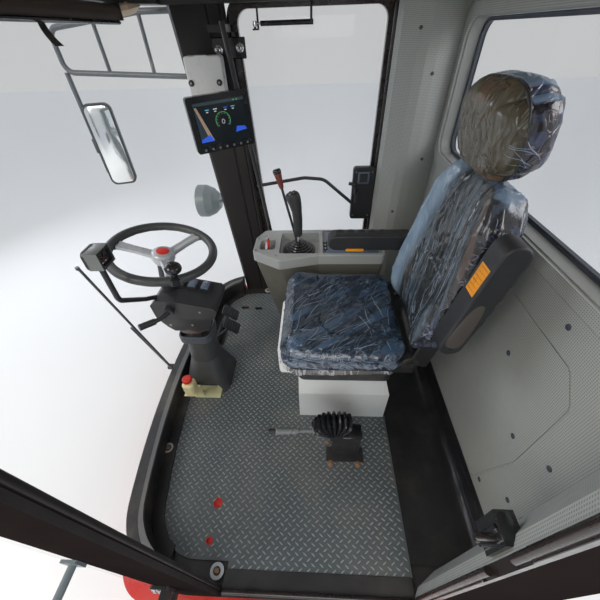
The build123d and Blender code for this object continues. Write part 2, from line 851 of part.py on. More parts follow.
def column_head():
    """The tilting upper shroud with its switch panel, stalk and the steering tube."""
    z = floor_z
    pin_z = z + column_neck + 30
    side = [
        (468, 408), (452, 440), (438, 486), (410, 520), (400, 548), (412, 566),
        (560, 600), (640, 606), (668, 580), (664, 520), (640, 440), (622, 408),
    ]
    profile = [(x, z + h) for x, h in side]
    body = plate(profile, column_y - head_half, column_y + head_half)
    low = [e for e in body.edges().filter_by(Axis.Y) if e.center().Z > z + 430]
    body = fillet(low, 10)
    across = Plane(origin=(0, column_y, z), x_dir=(0, 1, 0), z_dir=(1, 0, 0))
    for s in (-1, 1):
        outer = s * (head_half + 9)
        outline = [(s * head_half, 505), (outer, 505), (outer, 400), (s * (head_half - 26), 400)]
        body -= extrude(across * face_up(outline), 900)
    right, left = column_y - tongue_half, column_y + tongue_half
    tongue = rod((column_x, right, pin_z), (column_x, left, pin_z), tongue_r)
    stem = box(column_x - 20, column_x + 20, right, left, pin_z, z + 440)
    bore = rod((column_x, column_y - 60, pin_z), (column_x, column_y + 60, pin_z), tilt_pin_r + pin_clearance)
    head = body + tongue + stem - bore
    hub = wheel_plane()
    head += hub * rod((0, 0, -190), (0, 0, hub_low - seat_gap), 27)
    for i in range(3):
        ahead, up = rocker_step
        at = (470 + ahead * i, column_y - 40, z + 577 + up * i)
        place = Plane(origin=at, x_dir=(ahead, 0, up), z_dir=(-up, 0, ahead))
        head += place * (Pos(0, 0, 4) * Box(40, 62, 14))
    x, face, up = stalk_root[0], column_y + head_half, z + stalk_root[1]
    boss = rod((x, face - 4, up), (x, face + 22, up), 20)
    stalk = tube(((x, face + 18, up), (x + 22, face + 60, up + 2), (x + 65, face + 108, up + 12)), 40, 9)
    grip = rod((x + 32, face + 72, up + 4), (x + 72, face + 116, up + 14), 13)
    return head + boss + stalk + grip


def leant(angle):
    """The x and z directions of a frame turned back about Y by an angle in radians."""
    c, s = math.cos(angle), math.sin(angle)
    return (c, 0, s), (-s, 0, c)


def wheel_plane():
    """The plane of the steering wheel, with x forwards and z up the shaft to the driver."""
    t = math.radians(column_tilt)
    centre = (wheel_x, column_y, floor_z + wheel_height)
    x_dir, z_dir = leant(t)
    return Plane(origin=centre, x_dir=x_dir, z_dir=z_dir)


def steering_wheel():
    """A round rim, three dished spokes, a hub with its cap and a spinner knob."""
    ring_r = wheel_radius - wheel_rim_r
    wheel = Torus(ring_r, wheel_rim_r)
    hub = rod((0, 0, hub_low), (0, 0, hub_low + 40), 38)
    hub = chamfer(hub.faces().sort_by(Axis.Z)[-1].edges(), 10)
    wheel += hub
    for angle in wheel_spokes:
        rim = [(ring_r - 12, -8), (ring_r, -6), (ring_r, 5), (ring_r - 20, 6)]
        side = [(20, -40), *rim, (34, -14), (20, -14)]
        spoke = plate(side, -15, 15)
        wheel += Rot(0, 0, angle) * spoke
    knob = Rot(0, 0, knob_deg) * Pos(ring_r, 0, 0)
    stem = Cylinder(8, 44, align=(Align.CENTER, Align.CENTER, Align.MIN))
    ball = Pos(0, 0, 52) * scale(Sphere(24), (1, 1, 0.8))
    clamp = Pos(0, 0, 0) * Box(40, 34, 36)
    wheel = wheel + knob * (stem + ball + clamp)
    return wheel_plane() * wheel


def instrument_box():
    """A hooded instrument case and the bent arm that ties it to the column."""
    sx, sy, sz = box_size
    x, y, z = box_centre
    z += floor_z
    case = box(x - sx / 2, x + sx / 2, y - sy / 2, y + sy / 2, z - sz / 2, z + sz / 2)
    case = fillet(case.edges().filter_by(Axis.X), 12)
    face = Pos(x - sx / 2 + 4.5, y, z) * Box(11, sy - 12, sz - 12)
    case -= fillet(face.edges().filter_by(Axis.X), 8)
    lid = box(x + sx / 2, x + sx / 2 + 6, y - sy / 2 - 4, y + sy / 2 + 4, z - sz / 2 - 4, z + sz / 2 + 4)
    case += fillet(lid.edges().filter_by(Axis.X), 15)
    low = z - sz / 2
    arm = tube(
        ((x + 6, y + 8, low + 6), (x + 6, y + 8, low - 140), (650, 60, floor_z + 640),
         (648, column_y + 30, floor_z + 585)),
        40,
        9,
    )
    return case, arm


def brake_reservoir():
    """The brake fluid bottle on its sheet bracket in the arch of the column's foot."""
    z = floor_z
    seat = box(478, 606, 30, 98, z, z + 5)
    lug = box(480, 505, 30, 36, z, z + 40)
    upright = box(560, 606, 88, 94, z, z + 100)
    pad = box(560, 622, 88, 150, z + 96, z + 100)
    bottle = Pos(592, 122, z + 100) * extrude(RectangleRounded(58, 54, 18), 74)
    bottle = fillet(bottle.faces().sort_by(Axis.Z)[-1].edges(), 12)
    neck = Pos(592, 122, z + 178) * Cylinder(15, 12)
    cap = Pos(592, 122, z + 194) * Cylinder(21, 20)
    cap = chamfer(cap.faces().sort_by(Axis.Z)[-1].edges(), 3)
    return seat + upright + pad + bottle + neck + lug, cap


def pedals():
    """Two ribbed pads on bent arms that rise from one floor bracket."""
    z = floor_z
    axle_x, axle_z = pedal_axle
    foot = box(axle_x - 32, axle_x + 30, -410, -250, z, z + 8)
    axle = rod((axle_x, -410, z + axle_z), (axle_x, -250, z + axle_z), 12)
    posts = [box(axle_x - 10, axle_x + 10, y, y + 8, z, z + axle_z) for y in (-410, -335, -258)]
    unit = foot + axle + posts
    for x, y, h in pedals_at:
        across, long = pedal_size
        slope = Plane(origin=(x, y, z + h), x_dir=(0, 1, 0), z_dir=(-0.62, 0, 0.78))
        pad = slope * extrude(RectangleRounded(across, long, 10), 10)
        for i in range(5):
            pad += slope * (Pos(0, -36 + 18 * i, 11) * Box(across - 14, 7, 6))
        arm = rod((x - 2, y, z + h + 4), (axle_x, y, z + axle_z), 9)
        unit = unit + pad + arm
    return unit


# Console and its levers.
def console_body():
    """The tapered lower box of the side console."""
    top = floor_z + console_top - console_rim
    lower = fillet(face_up(console_foot).vertices(), 20)
    return loft([Pos(0, 0, floor_z) * lower, Pos(0, 0, top) * console_outline(-8)], ruled=True)


def console_outline(grow):
    """The console's upper plan as one face, drawn in or out."""
    face = fillet(face_up(console_plan).vertices(), 26)
    return offset(face, grow) if grow else face


def console_shell():
    """The light upper moulding with its front tray and the lever well."""
    low = floor_z + console_top - console_rim
    top = floor_z + console_top
    shell = Pos(0, 0, low) * extrude(console_outline(0), console_rim)
    shell = fillet(shell.faces().sort_by(Axis.Z)[-1].edges(), 8)
    tray = box(*tray_x, -440, -352, top - tray_depth, top + 10)
    tray = fillet(tray.edges().filter_by(Axis.Z), 16)
    well = box(*gate_x, *gate_y, top - tray_depth, top + 10)
    well = fillet(well.edges().filter_by(Axis.Z), 12)
    deck = box(-322, gate_x[0] - console_wall, -540, -322, top - 12, top + 10)
    return shell - tray - well - deck


def lever_gate():
    """The ribbed gaiter in the well that both levers rise through."""
    z = floor_z + console_top - tray_depth
    x, y = gate_centre
    gate = Pos(x, y, z) * Cylinder(gate_r, 14, align=(Align.CENTER, Align.CENTER, Align.MIN))
    for i, r in enumerate((74, 60, 46, 32)):
        gate += Pos(x, y, z + 12 + 9 * i) * Cylinder(r, 10, align=(Align.CENTER, Align.CENTER, Align.MIN))
    return gate


def control_levers():
    """The tall gear lever with its tapered knob, and the drive lever with its hand grip."""
    x, y = gate_centre
    z = floor_z
    foot = z + console_top - tray_depth + 49
    root = Vector(x + 12, y - 22, foot)
    tip = Vector(gear_top[0], gear_top[1], z + gear_top[2])
    way = (tip - root).normalized()
    gear = rod(root + Vector(0, 0, 2.4), tip, lever_r)
    top = tip - Vector(0, 0, 10)
    knob = Plane(origin=top, z_dir=way) * loft([Circle(12), Pos(0, 0, 62) * Circle(19)], ruled=True)
    cap = Plane(origin=top + way * 62, z_dir=way) * extrude(Circle(19), 14, taper=20)
    drive = rod((x + 2, y + 18, foot + 1.7), (x + 2, y + 6, z + 672), lever_r)
    grip = loft([
        Plane(origin=(x + 2, y + 6, z + 660), z_dir=(0, -0.1, 1)) * Ellipse(21, 18),
        Plane(origin=(x + 4, y, z + 770), z_dir=(0.1, -0.1, 1)) * Ellipse(24, 20),
        Plane(origin=(x + 22, y - 8, z + 846), z_dir=(0.3, -0.1, 1)) * Ellipse(32, 24),
    ], ruled=True)
    crown = Plane(origin=(x + 22, y - 8, z + 846), z_dir=(0.3, -0.1, 1))
    crown = crown * extrude(Ellipse(32, 24), 16, taper=30)
    return gear + knob + cap, drive + grip + crown


# Seat.
def seat_base():
    """The folded sheet box under the seat, with sloping shoulders."""
    z = floor_z
    x = (seat_base_front + seat_base_rear) / 2
    length = seat_base_front - seat_base_rear
    wide = 2 * seat_base_half
    low = Pos(x, 0, z) * Rectangle(length, wide)
    shoulder = Pos(x, 0, z + seat_base_height * 0.66) * Rectangle(length, wide)
    top = Pos(x + 14, 0, z + seat_base_height) * Rectangle(length - 28, wide - 70)
    lower = extrude(low, seat_base_height * 0.66)
    upper = loft([shoulder, top], ruled=True)
    return lower + upper


def seat_bellows():
    """The folded rubber gaiter round the suspension."""
    z0 = floor_z + seat_base_height
    step = bellows_height / (2 * bellows_folds)
    x = (seat_base_front + seat_base_rear) / 2 + 6
    folds = None
    for i in range(bellows_folds):
        sections = []
        for j, grow in enumerate((-22, 0, -22)):
            face = RectangleRounded(386 + grow, 372 + grow, 30)
            sections.append(Pos(x, 0, z0 + step * (2 * i + j)) * face)
        fold = loft(sections, ruled=True)
        folds = fold if folds is None else folds + fold
    return folds


def seat_carrier():
    """The seat's pan on its slides, with the recliner ears and their pins."""
    z0 = floor_z + seat_base_height + bellows_height + seat_gap
    z1 = floor_z + cushion_top - cushion_thickness
    rail = [box(cushion_rear + 40, cushion_front - 40, y - 18, y + 18, z0, z0 + 18) for y in (-150, 150)]
    pan = box(cushion_rear - 14, cushion_front - 20, -ear_face, ear_face, z0 + 18, z1)
    pan = pan + rail
    hx, hz = back_hinge
    for s in (-1, 1):
        low, high = sorted((s * ear_face, s * (ear_face - 12)))
        ear_low = box(hx - 26, hx + 40, low, high, z0 + 18, floor_z + hz)
        disc = rod((hx, low, floor_z + hz), (hx, high, floor_z + hz), 34)
        root, tip = s * (ear_face - 12), s * (ear_face + 18)
        pin = rod((hx, root, floor_z + hz), (hx, tip, floor_z + hz), recline_pin_r)
        pan = pan + ear_low + disc + pin
    return pan


def seat_apron():
    """The light cover over the weight adjuster at the front of the seat."""
    z0 = floor_z + 306
    z1 = floor_z + cushion_top - cushion_thickness
    cover = box(cushion_front - 20, cushion_front + 22, -150, 150, z0, z1)
    return fillet(cover.faces().sort_by(Axis.X)[-1].edges(), 14)


def seat_cushion():
    z0 = floor_z + cushion_top - cushion_thickness
    z1 = floor_z + cushion_top
    pad = rounded_slab(cushion_rear, cushion_front, -cushion_half, cushion_half, z0, z1, 60, 26)
    ear_room = box(back_hinge[0] - 60, cushion_rear + 40, -260, -198, z0 - 1, z0 + 200)
    return pad - ear_room - mirrored(ear_room)


def back_plane():
    """The backrest's own plane: x forwards out of its face, z up it, origin on its hinge."""
    hx, hz = back_hinge
    x_dir, z_dir = leant(math.radians(back_lean))
    return Plane(origin=(hx, 0, floor_z + hz), x_dir=x_dir, z_dir=z_dir)


def seat_back():
    """The backrest pad, its hinge plates, the armrest pins and the headrest posts."""
    right = [(222, 44), (242, 250), (236, 410), (168, 44 + back_height)]  # y and height, from the foot up
    outline = right + [(-y, h) for y, h in reversed(right)]
    front = Plane(origin=(4 - back_thickness, 0, 0), x_dir=(0, 1, 0), z_dir=(1, 0, 0))
    face = fillet(Polygon(*outline, align=None).vertices(), 40)
    pad = extrude(front * face, back_thickness)
    pad = fillet(pad.faces().sort_by(Axis.X)[-1].edges(), 20)
    parts = pad
    for s in (-1, 1):
        low, high = sorted((s * (ear_face + seat_gap), s * (ear_face + 12)))
        hinge = box(-58, 10, low, high, 0, 90) + rod((0, low, 0), (0, high, 0), 30)
        hinge -= rod((0, low - 10, 0), (0, high + 10, 0), recline_pin_r + pin_clearance)
        parts = parts + hinge
        parts = parts + headrest_post(s, 0)
    return back_plane() * parts


def headrest_post(sign, clearance):
    """One of the headrest's two posts, or with a clearance the room for it in the pad."""
    low, high = back_height + post_span[0], back_height + post_span[1] + clearance
    y = sign * post_gauge
    return rod((-head_back, y, low), (-head_back, y, high), post_r + clearance)


def arm_pins():
    """The stub shafts on the backrest that the armrests turn on, as pieces of the backrest."""
    x, h = arm_hinge
    pins = []
    for s in (-1, 1):
        tip = arm_inner + arm_width - 12
        pins.append(rod((x, s * (ear_face + 11), floor_z + h), (x, s * tip, floor_z + h), arm_pin_r))
    return pins


def headrest():
    pad = box(-head_thickness / 2, head_thickness / 2, -head_width / 2, head_width / 2, 0, head_height)
    pad = fillet(pad.edges().filter_by(Axis.X), 70)
    pad = fillet(pad.faces().sort_by(Axis.X)[-1].edges(), 34)
    pad = Pos(-head_back, 0, back_height + head_gap) * Rot(0, back_lean + head_tip, 0) * pad
    for s in (-1, 1):
        pad -= headrest_post(s, pin_clearance)
    return back_plane() * pad


def armrest(sign, raised_deg):
    """An armrest on its stub shaft, level or raised beside the backrest, and its orange block."""
    x, h = arm_hinge
    z = floor_z + h
    y0, y1 = sorted((sign * arm_inner, sign * (arm_inner + arm_width)))
    r = arm_height / 2
    arm = box(x, x + arm_length - r, y0, y1, z - r, z + r)
    arm = arm + rod((x, y0, z), (x, y1, z), r)
    tip = rod((x + arm_length - r, y0, z), (x + arm_length - r, y1, z), r)
    arm = fillet((arm + tip).faces().sort_by(Axis.Y)[-1].edges(), 8)
    arm -= rod((x, y0 - 5, z), (x, y1 + 5, z), arm_pin_r + pin_clearance)
    long, wide, deep = arm_block
    bx = x + arm_block_at
    by = (y0 + y1) / 2
    pocket = box(bx, bx + long, by - wide / 2, by + wide / 2, z - r, z - r + deep)
    turn = Pos(x, 0, z) * Rot(0, -raised_deg, 0) * Pos(-x, 0, -z)
    return turn * (arm - pocket), turn * pocket


# Display, relay box and parking brake.
def pole_at(height):
    """The middle of the slanting pole at a height over the mat."""
    share = (height - pole_foot[2]) / (pole_top[2] - pole_foot[2])
    return pole_foot[0] + (pole_top[0] - pole_foot[0]) * share, pole_foot[1], floor_z + height


def display_pole():
    """The slanting tube from the front pillar to the console, with its clamps."""
    top, foot = pole_at(pole_top[2]), pole_at(pole_foot[2])
    pole = rod(foot, top, pole_radius)
    inner = half_width - pillar_depth
    clamp = box(top[0] - 14, top[0] + 60, -inner, top[1] + 4, top[2] - 34, top[2] - 10)
    arm = rod(foot, (foot[0] - 12, -556, foot[2]), 9)
    return pole + clamp + arm


def display_place():
    x, y, z = display_centre
    return Pos(x, y, floor_z + z) * Rot(0, 0, display_turn) * Rot(0, display_roll, 0)


def display():
    """A thin case with a raised frame round its screen, facing the driver, on a short arm."""
    w, d, h = display_width, display_depth, display_height
    case = box(-w / 2, w / 2, -d / 2, d / 2, -h / 2, h / 2)
    case = fillet(case.edges().filter_by(Axis.Y), 12)
    screen = box(-w / 2 + 20, w / 2 - 20, d / 2 - 3, d / 2 + 1, -h / 2 + 26, h / 2 - 20)
    case = case - screen
    hub = box(-30, 30, -d / 2 - 18, -d / 2 + 1, -30, 30)
    case = display_place() * (case + hub)
    x, y, z = display_centre
    arm = rod((x, y - 20, floor_z + z), pole_at(z + 18), 9)
    clamp = rod(pole_at(z + 2), pole_at(z + 34), pole_radius + 9)
    bore = rod(pole_at(z - 40), pole_at(z + 70), pole_radius + seat_gap)
    return case + arm + clamp - bore


def relay_case():
    x0, x1, deep, z0, z1 = relay_box
    inner = half_width - pillar_depth
    back = relay_stand - inner
    case = box(x0, x1, back, back + deep, floor_z + z0, floor_z + z1)
    case = fillet(case.edges().filter_by(Axis.Y), 12)
    notch = box(x0 + 60, x0 + 118, back - 1, back + deep - 12, floor_z + z1 - 8, floor_z + z1 + 1)
    case = fillet(case.faces().sort_by(Axis.Y)[-1].edges(), 5) - notch
    return case + box(x0 + 24, x1 - 36, -inner, back + 1, floor_z + z0 + 30, floor_z + z1 - 30)


def parking_brake():
    """The floor bracket, the fan of the ribbed gaiter and the plain lever."""
    z = floor_z
    x0, x1 = brake_x
    pivot = Vector(x1 - 16, brake_y, z + brake_rise + 20)
    low = pivot.Z - 22
    foot = box(x0 - 14, x1 + 14, brake_y - 26, brake_y + 34, z, z + 6)
    web = box(x0 + 8, x1 - 8, brake_y - 5, brake_y + 5, z, low - seat_gap)

    def fan(radius, angle):
        a = math.radians(angle)
        return pivot.X + radius * math.cos(a), pivot.Z + radius * math.sin(a)

    half = gaiter_width / 2
    core = [fan(gaiter_r - 16, 4 + 16 * i) for i in range(9)]
    gaiter = plate([(pivot.X, low), *core, (x0 + 8, low)], brake_y - half + 7, brake_y + half - 7)
    for i in range(gaiter_ribs):
        start = 8 + 15 * i
        outline = [fan(30, start), fan(gaiter_r, start), fan(gaiter_r, start + 11), fan(30, start + 11)]
        gaiter += plate(outline, brake_y - half, brake_y + half)
    tip = Vector(brake_tip[0], brake_tip[1], z + brake_tip[2])
    way = (tip - pivot).normalized()
    lever = rod(pivot + way * (gaiter_r + 2), tip, 7) + rod(tip - way * 66, tip, 10)
    return foot + web, gaiter, lever


def save_all():
    """Every node of the cab."""
    save("rubber_mounts", *rubber_mounts())
    save("base_frame", base_frame())
    save("floor_pan", floor_pan())
    save("floor_mat", floor_mat())
    save("rear_mat", rear_mat())
    save("front_kerb", kerb())
    save("door_sills", *door_sills())
    save("windscreen", windscreen())
    save("front_pillars", *both(front_pillar()))
    save("rear_shell", rear_shell())
    save("rear_trim", rear_trim())
    quarter = rear_quarter()
    save("rear_quarters", mirrored(quarter), quarter + striker())
    save("rear_glass", rear_glass())
    save("top_rail", top_rail())
    save("headliner", headliner())
    save("roof", roof())
    save("roller_blind", *roller_blind())
    right, left = hinge_leaves(), [mirrored(leaf) for leaf in hinge_leaves()]
    save("hinge_leaves", *right, *left)
    for name, piece in (("frame", door_frame()), ("glass", door_glass()), ("fittings", door_fittings())):
        save(f"door_{name}_right", piece)
        save(f"door_{name}_left", opened(piece))
    for side, sign, angle in (("right", -1, 0), ("left", 1, door_open_deg)):
        case, shaft = stay(angle, sign)
        save(f"stay_tube_{side}", case)
        save(f"stay_rod_{side}", shaft)
    save("mirror_frames", *mirror_frames())
    save("mirror_heads", *mirror_heads())
    save("work_lamps", *work_lamps())
    save("wiper", wiper())
    save("column_base", column_base())
    head = column_head()
    save("column_head", head)
    save("steering_wheel", steering_wheel())
    case, arm = instrument_box()
    save("instrument_box", case + (arm - head))
    bottle, cap = brake_reservoir()
    save("brake_reservoir", bottle)
    save("reservoir_cap", cap)
    save("pedals", pedals())
    save("console_body", console_body())
    save("console_shell", console_shell())
    save("lever_gate", lever_gate())
    gear, drive = control_levers()
    save("control_levers", gear, drive)
    save("seat_base", seat_base())
    save("seat_bellows", seat_bellows())
    save("seat_carrier", seat_carrier())
    save("seat_apron", seat_apron())
    save("seat_cushion", seat_cushion())
    save("seat_back", seat_back() + arm_pins())
    save("headrest", headrest())
    for side, sign, angle in (("right", -1, 0), ("left", 1, 90 + back_lean)):
        arm, block = armrest(sign, angle)
        save(f"armrest_{side}", arm)
        save(f"armrest_block_{side}", block)
    save("display_pole", display_pole())
    save("display", display())
    save("relay_case", relay_case())
    bracket, gaiter, lever = parking_brake()
    save("brake_bracket", bracket + lever)
    save("brake_gaiter", gaiter)


os.makedirs("parts", exist_ok=True)
save_all()
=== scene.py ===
"""Looks of the forage harvester operator's cab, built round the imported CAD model. Metres."""
import math
import random

import bmesh
import bpy
from mathutils import Matrix, Vector, noise
from mathutils.bvhtree import BVHTree


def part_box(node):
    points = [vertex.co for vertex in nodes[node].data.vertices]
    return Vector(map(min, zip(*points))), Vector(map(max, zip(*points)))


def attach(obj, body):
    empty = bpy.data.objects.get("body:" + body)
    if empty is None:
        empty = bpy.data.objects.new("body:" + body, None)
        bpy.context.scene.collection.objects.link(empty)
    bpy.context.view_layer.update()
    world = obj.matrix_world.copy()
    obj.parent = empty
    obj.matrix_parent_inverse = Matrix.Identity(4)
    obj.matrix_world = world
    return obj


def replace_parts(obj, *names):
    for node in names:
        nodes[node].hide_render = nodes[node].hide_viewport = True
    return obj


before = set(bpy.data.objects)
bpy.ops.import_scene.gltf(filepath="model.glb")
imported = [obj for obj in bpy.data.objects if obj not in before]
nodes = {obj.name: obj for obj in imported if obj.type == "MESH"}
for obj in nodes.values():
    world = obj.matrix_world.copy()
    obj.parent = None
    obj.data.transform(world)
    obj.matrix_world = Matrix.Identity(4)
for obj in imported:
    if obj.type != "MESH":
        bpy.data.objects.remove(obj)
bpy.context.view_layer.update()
scene = bpy.context.scene
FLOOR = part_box("floor_mat")[1].z
FRONT, LEFT, UP = (1, 0, 0), (0, 1, 0), (0, 0, 1)
SEED = 11
random.seed(SEED)
noise.seed_set(SEED)


def colour(r, g, b):
    """The linear value of a colour named as it looks on a screen."""
    return (*(((c / 255 + 0.055) / 1.055) ** 2.4 if c > 10 else c / 255 / 12.92 for c in (r, g, b)), 1.0)


def scaled(rgb, k):
    return (*(min(1.0, c * k) for c in rgb[:3]), 1.0)


class Graph:
    """A material's node graph, with short calls for the nodes used here."""

    def __init__(self, name):
        self.mat = bpy.data.materials.new(name)
        self.mat.use_nodes = True
        self.tree = self.mat.node_tree
        self.shader = self.tree.nodes["Principled BSDF"]
        coords = self.add("TexCoord").outputs
        self.place = coords["Object"]
        self.facing = self.add("SeparateXYZ", {0: coords["Normal"]}).outputs

    def put(self, node, sockets):
        """Sets inputs by name or number. A value that is another node's output is linked."""
        for key, value in sockets.items():
            socket = node.inputs[key if isinstance(key, int) else key.replace("_", " ")]
            if isinstance(value, bpy.types.NodeSocket):
                self.tree.links.new(value, socket)
            else:
                socket.default_value = value

    def add(self, kind, numbered=None, **named):
        node = self.tree.nodes.new("ShaderNode" + kind)
        self.put(node, {**(numbered or {}), **named})
        return node

    def mapped(self, scale):
        return self.add("Mapping", Vector=self.place, Scale=scale).outputs[0]

    def along(self, turn, stretch):
        """Coordinates turned first and then divided by a stretch, for marks drawn out along one way."""
        node = self.add("Mapping", Vector=self.place)
        node.vector_type = "TEXTURE"
        self.put(node, {"Rotation": [math.radians(a) for a in turn], "Scale": stretch})
        return node.outputs[0]

    def noise(self, scale, detail=3, rough=0.55, vector=None, distortion=0.0):
        return self.add("TexNoise", Vector=self.place if vector is None else vector, Scale=scale, Detail=detail,
                        Roughness=rough, Distortion=distortion).outputs["Fac"]

    def cells(self, scale, vector=None):
        """Distance to the nearest point of an even grid."""
        return self.add("TexVoronoi", Vector=self.place if vector is None else vector, Scale=scale,
                        Randomness=0.0).outputs["Distance"]

    def span(self, value, low, high, out_low=0.0, out_high=1.0):
        node = self.add("MapRange", Value=value, From_Min=low, From_Max=high, To_Min=out_low, To_Max=out_high)
        node.interpolation_type = "SMOOTHSTEP"
        return node.outputs[0]

    def math(self, op, a, b=0.0):
        node = self.add("Math", {0: a, 1: b})
        node.operation = op
        return node.outputs[0]

    def times(self, value, *others):
        for other in others:
            value = self.math("MULTIPLY", value, other)
        return value

    def most(self, a, b):
        return self.math("MAXIMUM", a, b)

    def rest(self, value):
        return self.math("SUBTRACT", 1.0, value)

    def off_middle(self, value):
        return self.math("ABSOLUTE", self.math("SUBTRACT", value, 0.5))

    def ridge(self, scale, thin, vector, distortion, detail):
        """Fine wandering lines, 1 on the line and 0 off it."""
        return self.span(self.off_middle(self.noise(scale, detail, 0.55, vector, distortion)), 0.0, thin, 1.0, 0.0)

    def mix(self, share, a, b):
        node = self.tree.nodes.new("ShaderNodeMix")
        node.data_type = "RGBA"
        self.put(node, {"Factor": share, 6: a, 7: b})
        return node.outputs[2]

    def bump(self, height, strength, distance, **under):
        """A raised surface direction. One to build on is given as Normal."""
        return self.add("Bump", Height=height, Strength=strength, Distance=distance, **under).outputs[0]

    def finish(self, base, rough, clear=False, **sockets):
        self.put(self.shader, {"Base Color": base, "Roughness": rough, **sockets})
        if clear:
            self.mat.surface_render_method = "BLENDED"
        return self.mat


def plain(name, rgb, rough, vary=0.12, blotch=9.0, grain=900.0, depth=0.1, wear=0.0, dust=0.0, **flat):
    """A moulded or painted surface: cloudy colour, uneven gloss, fine grain, and patches of dust."""
    g, rgb = Graph(name), colour(*rgb)
    base = g.mix(g.noise(blotch, 4, 0.6), scaled(rgb, 1 - vary), scaled(rgb, 1 + vary))
    if wear:
        scratch = g.span(g.noise(70, 6, 0.75, g.mapped((1, 5, 1))), 0.62, 0.74)
        base = g.mix(g.times(scratch, wear), base, scaled(rgb, 2.2))
    if dust:
        base = g.mix(g.times(g.span(g.noise(3.2, 5, 0.65), 0.42, 0.75), dust), base, colour(150, 140, 122))
    gloss = g.span(g.noise(22, 3), 0.3, 0.7, max(0.03, rough - 0.07), min(1.0, rough + 0.07))
    return g.finish(base, gloss, Normal=g.bump(g.noise(grain, 2, 0.5), depth, 0.0006), **flat)


def metal(name, rgb, rough, brushed=(1, 1, 1), depth=0.08):
    g, rgb = Graph(name), colour(*rgb)
    lines = g.noise(180, 3, 0.6, g.mapped(brushed))
    base = g.mix(g.noise(12, 3), scaled(rgb, 0.86), scaled(rgb, 1.08))
    gloss = g.span(lines, 0.3, 0.7, max(0.04, rough - 0.08), rough + 0.08)
    return g.finish(base, gloss, Normal=g.bump(lines, depth, 0.0004), Metallic=1.0)


def perforated(name, rgb):
    """Padded wall lining: a fine field of pricked dots over a soft uneven face."""
    g, rgb, pitch = Graph(name), colour(*rgb), 175.0
    aside = g.span(g.math("ABSOLUTE", g.facing[1]), 0.55, 0.75)
    dots = g.math("ADD", g.times(g.cells(pitch, g.mapped((0, 1, 1))), g.rest(aside)),
                  g.times(g.cells(pitch, g.mapped((1, 0, 1))), aside))
    pit = g.span(dots, 0.24, 0.38)
    base = g.mix(pit, scaled(rgb, 0.58), g.mix(g.noise(5, 4, 0.6), scaled(rgb, 0.93), scaled(rgb, 1.05)))
    soft = g.bump(g.noise(14, 3), 0.12, 0.004)
    return g.finish(base, g.span(g.noise(30, 2), 0.3, 0.7, 0.42, 0.56), Normal=g.bump(pit, 0.35, 0.0008, Normal=soft))


def cloth(name, rgb, scale, sheen):
    g, rgb = Graph(name), colour(*rgb)
    warp, weft = (g.add("TexWave", Vector=g.place, Scale=scale / 6.3, Distortion=0.6) for _ in range(2))
    weft.bands_direction = "Z"
    weave = g.times(warp.outputs["Fac"], weft.outputs["Fac"])
    base = g.mix(weave, scaled(rgb, 0.7), scaled(rgb, 1.25))
    base = g.mix(g.span(g.noise(16, 4), 0.35, 0.7), base, scaled(rgb, 0.8))
    return g.finish(base, 0.85, Normal=g.bump(weave, 0.3, 0.0006), Sheen_Weight=sheen)


def glass(name, tint, alpha):
    g = Graph(name)
    smear = g.span(g.noise(6, 5, 0.65), 0.45, 0.8)
    return g.finish(colour(*tint), g.span(smear, 0, 1, 0.02, 0.1), True, Alpha=alpha, IOR=1.5, Specular_IOR_Level=0.8)


def film(name, under, sheen, warm, glint, lines, side, top=None, far=None, whole=False):
    """Clear wrapping film drawn tight over cloth: the cloth's colour with light painted over it, a broad painted sheen,
    a warm painted reflection, and long creases with painted glints. Side gives the near zone that wrapped() marks its
    own painted shade, sheen patches and glints, far paints a pale sky reflection on the far zone, and top paints the
    sky's reflection on what faces up. Whole draws a dark seam round the near zone and keeps the top colour inside it."""
    g = Graph(name)
    under, sheen, warm, glint, *side = (colour(*c) for c in (under, sheen, warm, glint, *side))
    zones = [g.tree.nodes.new("ShaderNodeAttribute") for _ in range(3)]
    for zone, layer in zip(zones, ("fold", "near", "far")):
        zone.attribute_name = layer
    mark, near, away = (zone.outputs["Fac"] for zone in zones)
    streaks = None
    for turn, stretch, scale, thin, share in lines:
        patch = g.span(g.noise(7, 2, 0.5), 0.46, 0.58)
        line = g.times(g.ridge(scale, thin, g.along(turn, stretch), 0.1, 1), patch, share)
        streaks = line if streaks is None else g.most(streaks, line)
    way = g.along(*lines[0][:2])
    # Broad patches of painted sheen, and a warm painted reflection over them.
    broad = g.span(g.noise(22, 3, 0.5, way, 0.6), 0.5, 0.6)
    base = g.mix(g.times(broad, 0.5), under, sheen)
    base = g.mix(g.times(g.span(g.noise(17, 3, 0.5, way, 0.5), 0.54, 0.62), 0.4), base, warm)
    crinkle = g.times(g.ridge(20, 0.03, None, 1.2, 2), g.span(g.noise(9, 2), 0.44, 0.56))
    # A pale painted sky reflection over the far zone.
    if far:
        share = g.times(away, g.span(g.noise(15, 3, 0.55, way), 0.25, 0.5))
        base = g.mix(g.times(share, 0.85), base, colour(*far))
    # The near zone: painted shade, painted sheen patches and painted glints along the crinkles.
    patches = g.mix(g.span(g.noise(20, 2, 0.6, None, 1.4), 0.5, 0.58), side[0], side[1])
    base = g.mix(near, base, g.mix(g.times(crinkle, 0.55), patches, side[2]))
    streaks = g.most(g.times(streaks, g.rest(near)), g.times(crinkle, near, 0.5))
    # A painted sky reflection on what faces up.
    if top:
        cap = g.times(g.span(g.facing[2], 0.62, 0.86), 0.9)
        base = g.mix(g.times(cap, near) if whole else cap, base, colour(*top))
    # Painted glints along the creases and along the film's folds.
    streaks = g.most(streaks, g.times(mark, 0.14))
    base = g.mix(g.times(streaks, 0.5), base, glint)
    if whole:
        base = g.mix(g.span(g.off_middle(near), 0.2, 0.45, 0.85, 0.0), base, (0.01, 0.009, 0.008, 1))
    height = g.math("ADD", streaks, g.times(broad, 0.8))
    return g.finish(base, g.span(g.noise(40, 3), 0.3, 0.7, 0.13, 0.26), True, Normal=g.bump(height, 0.6, 0.004),
                    Alpha=0.93, IOR=1.5, Specular_IOR_Level=0.85)


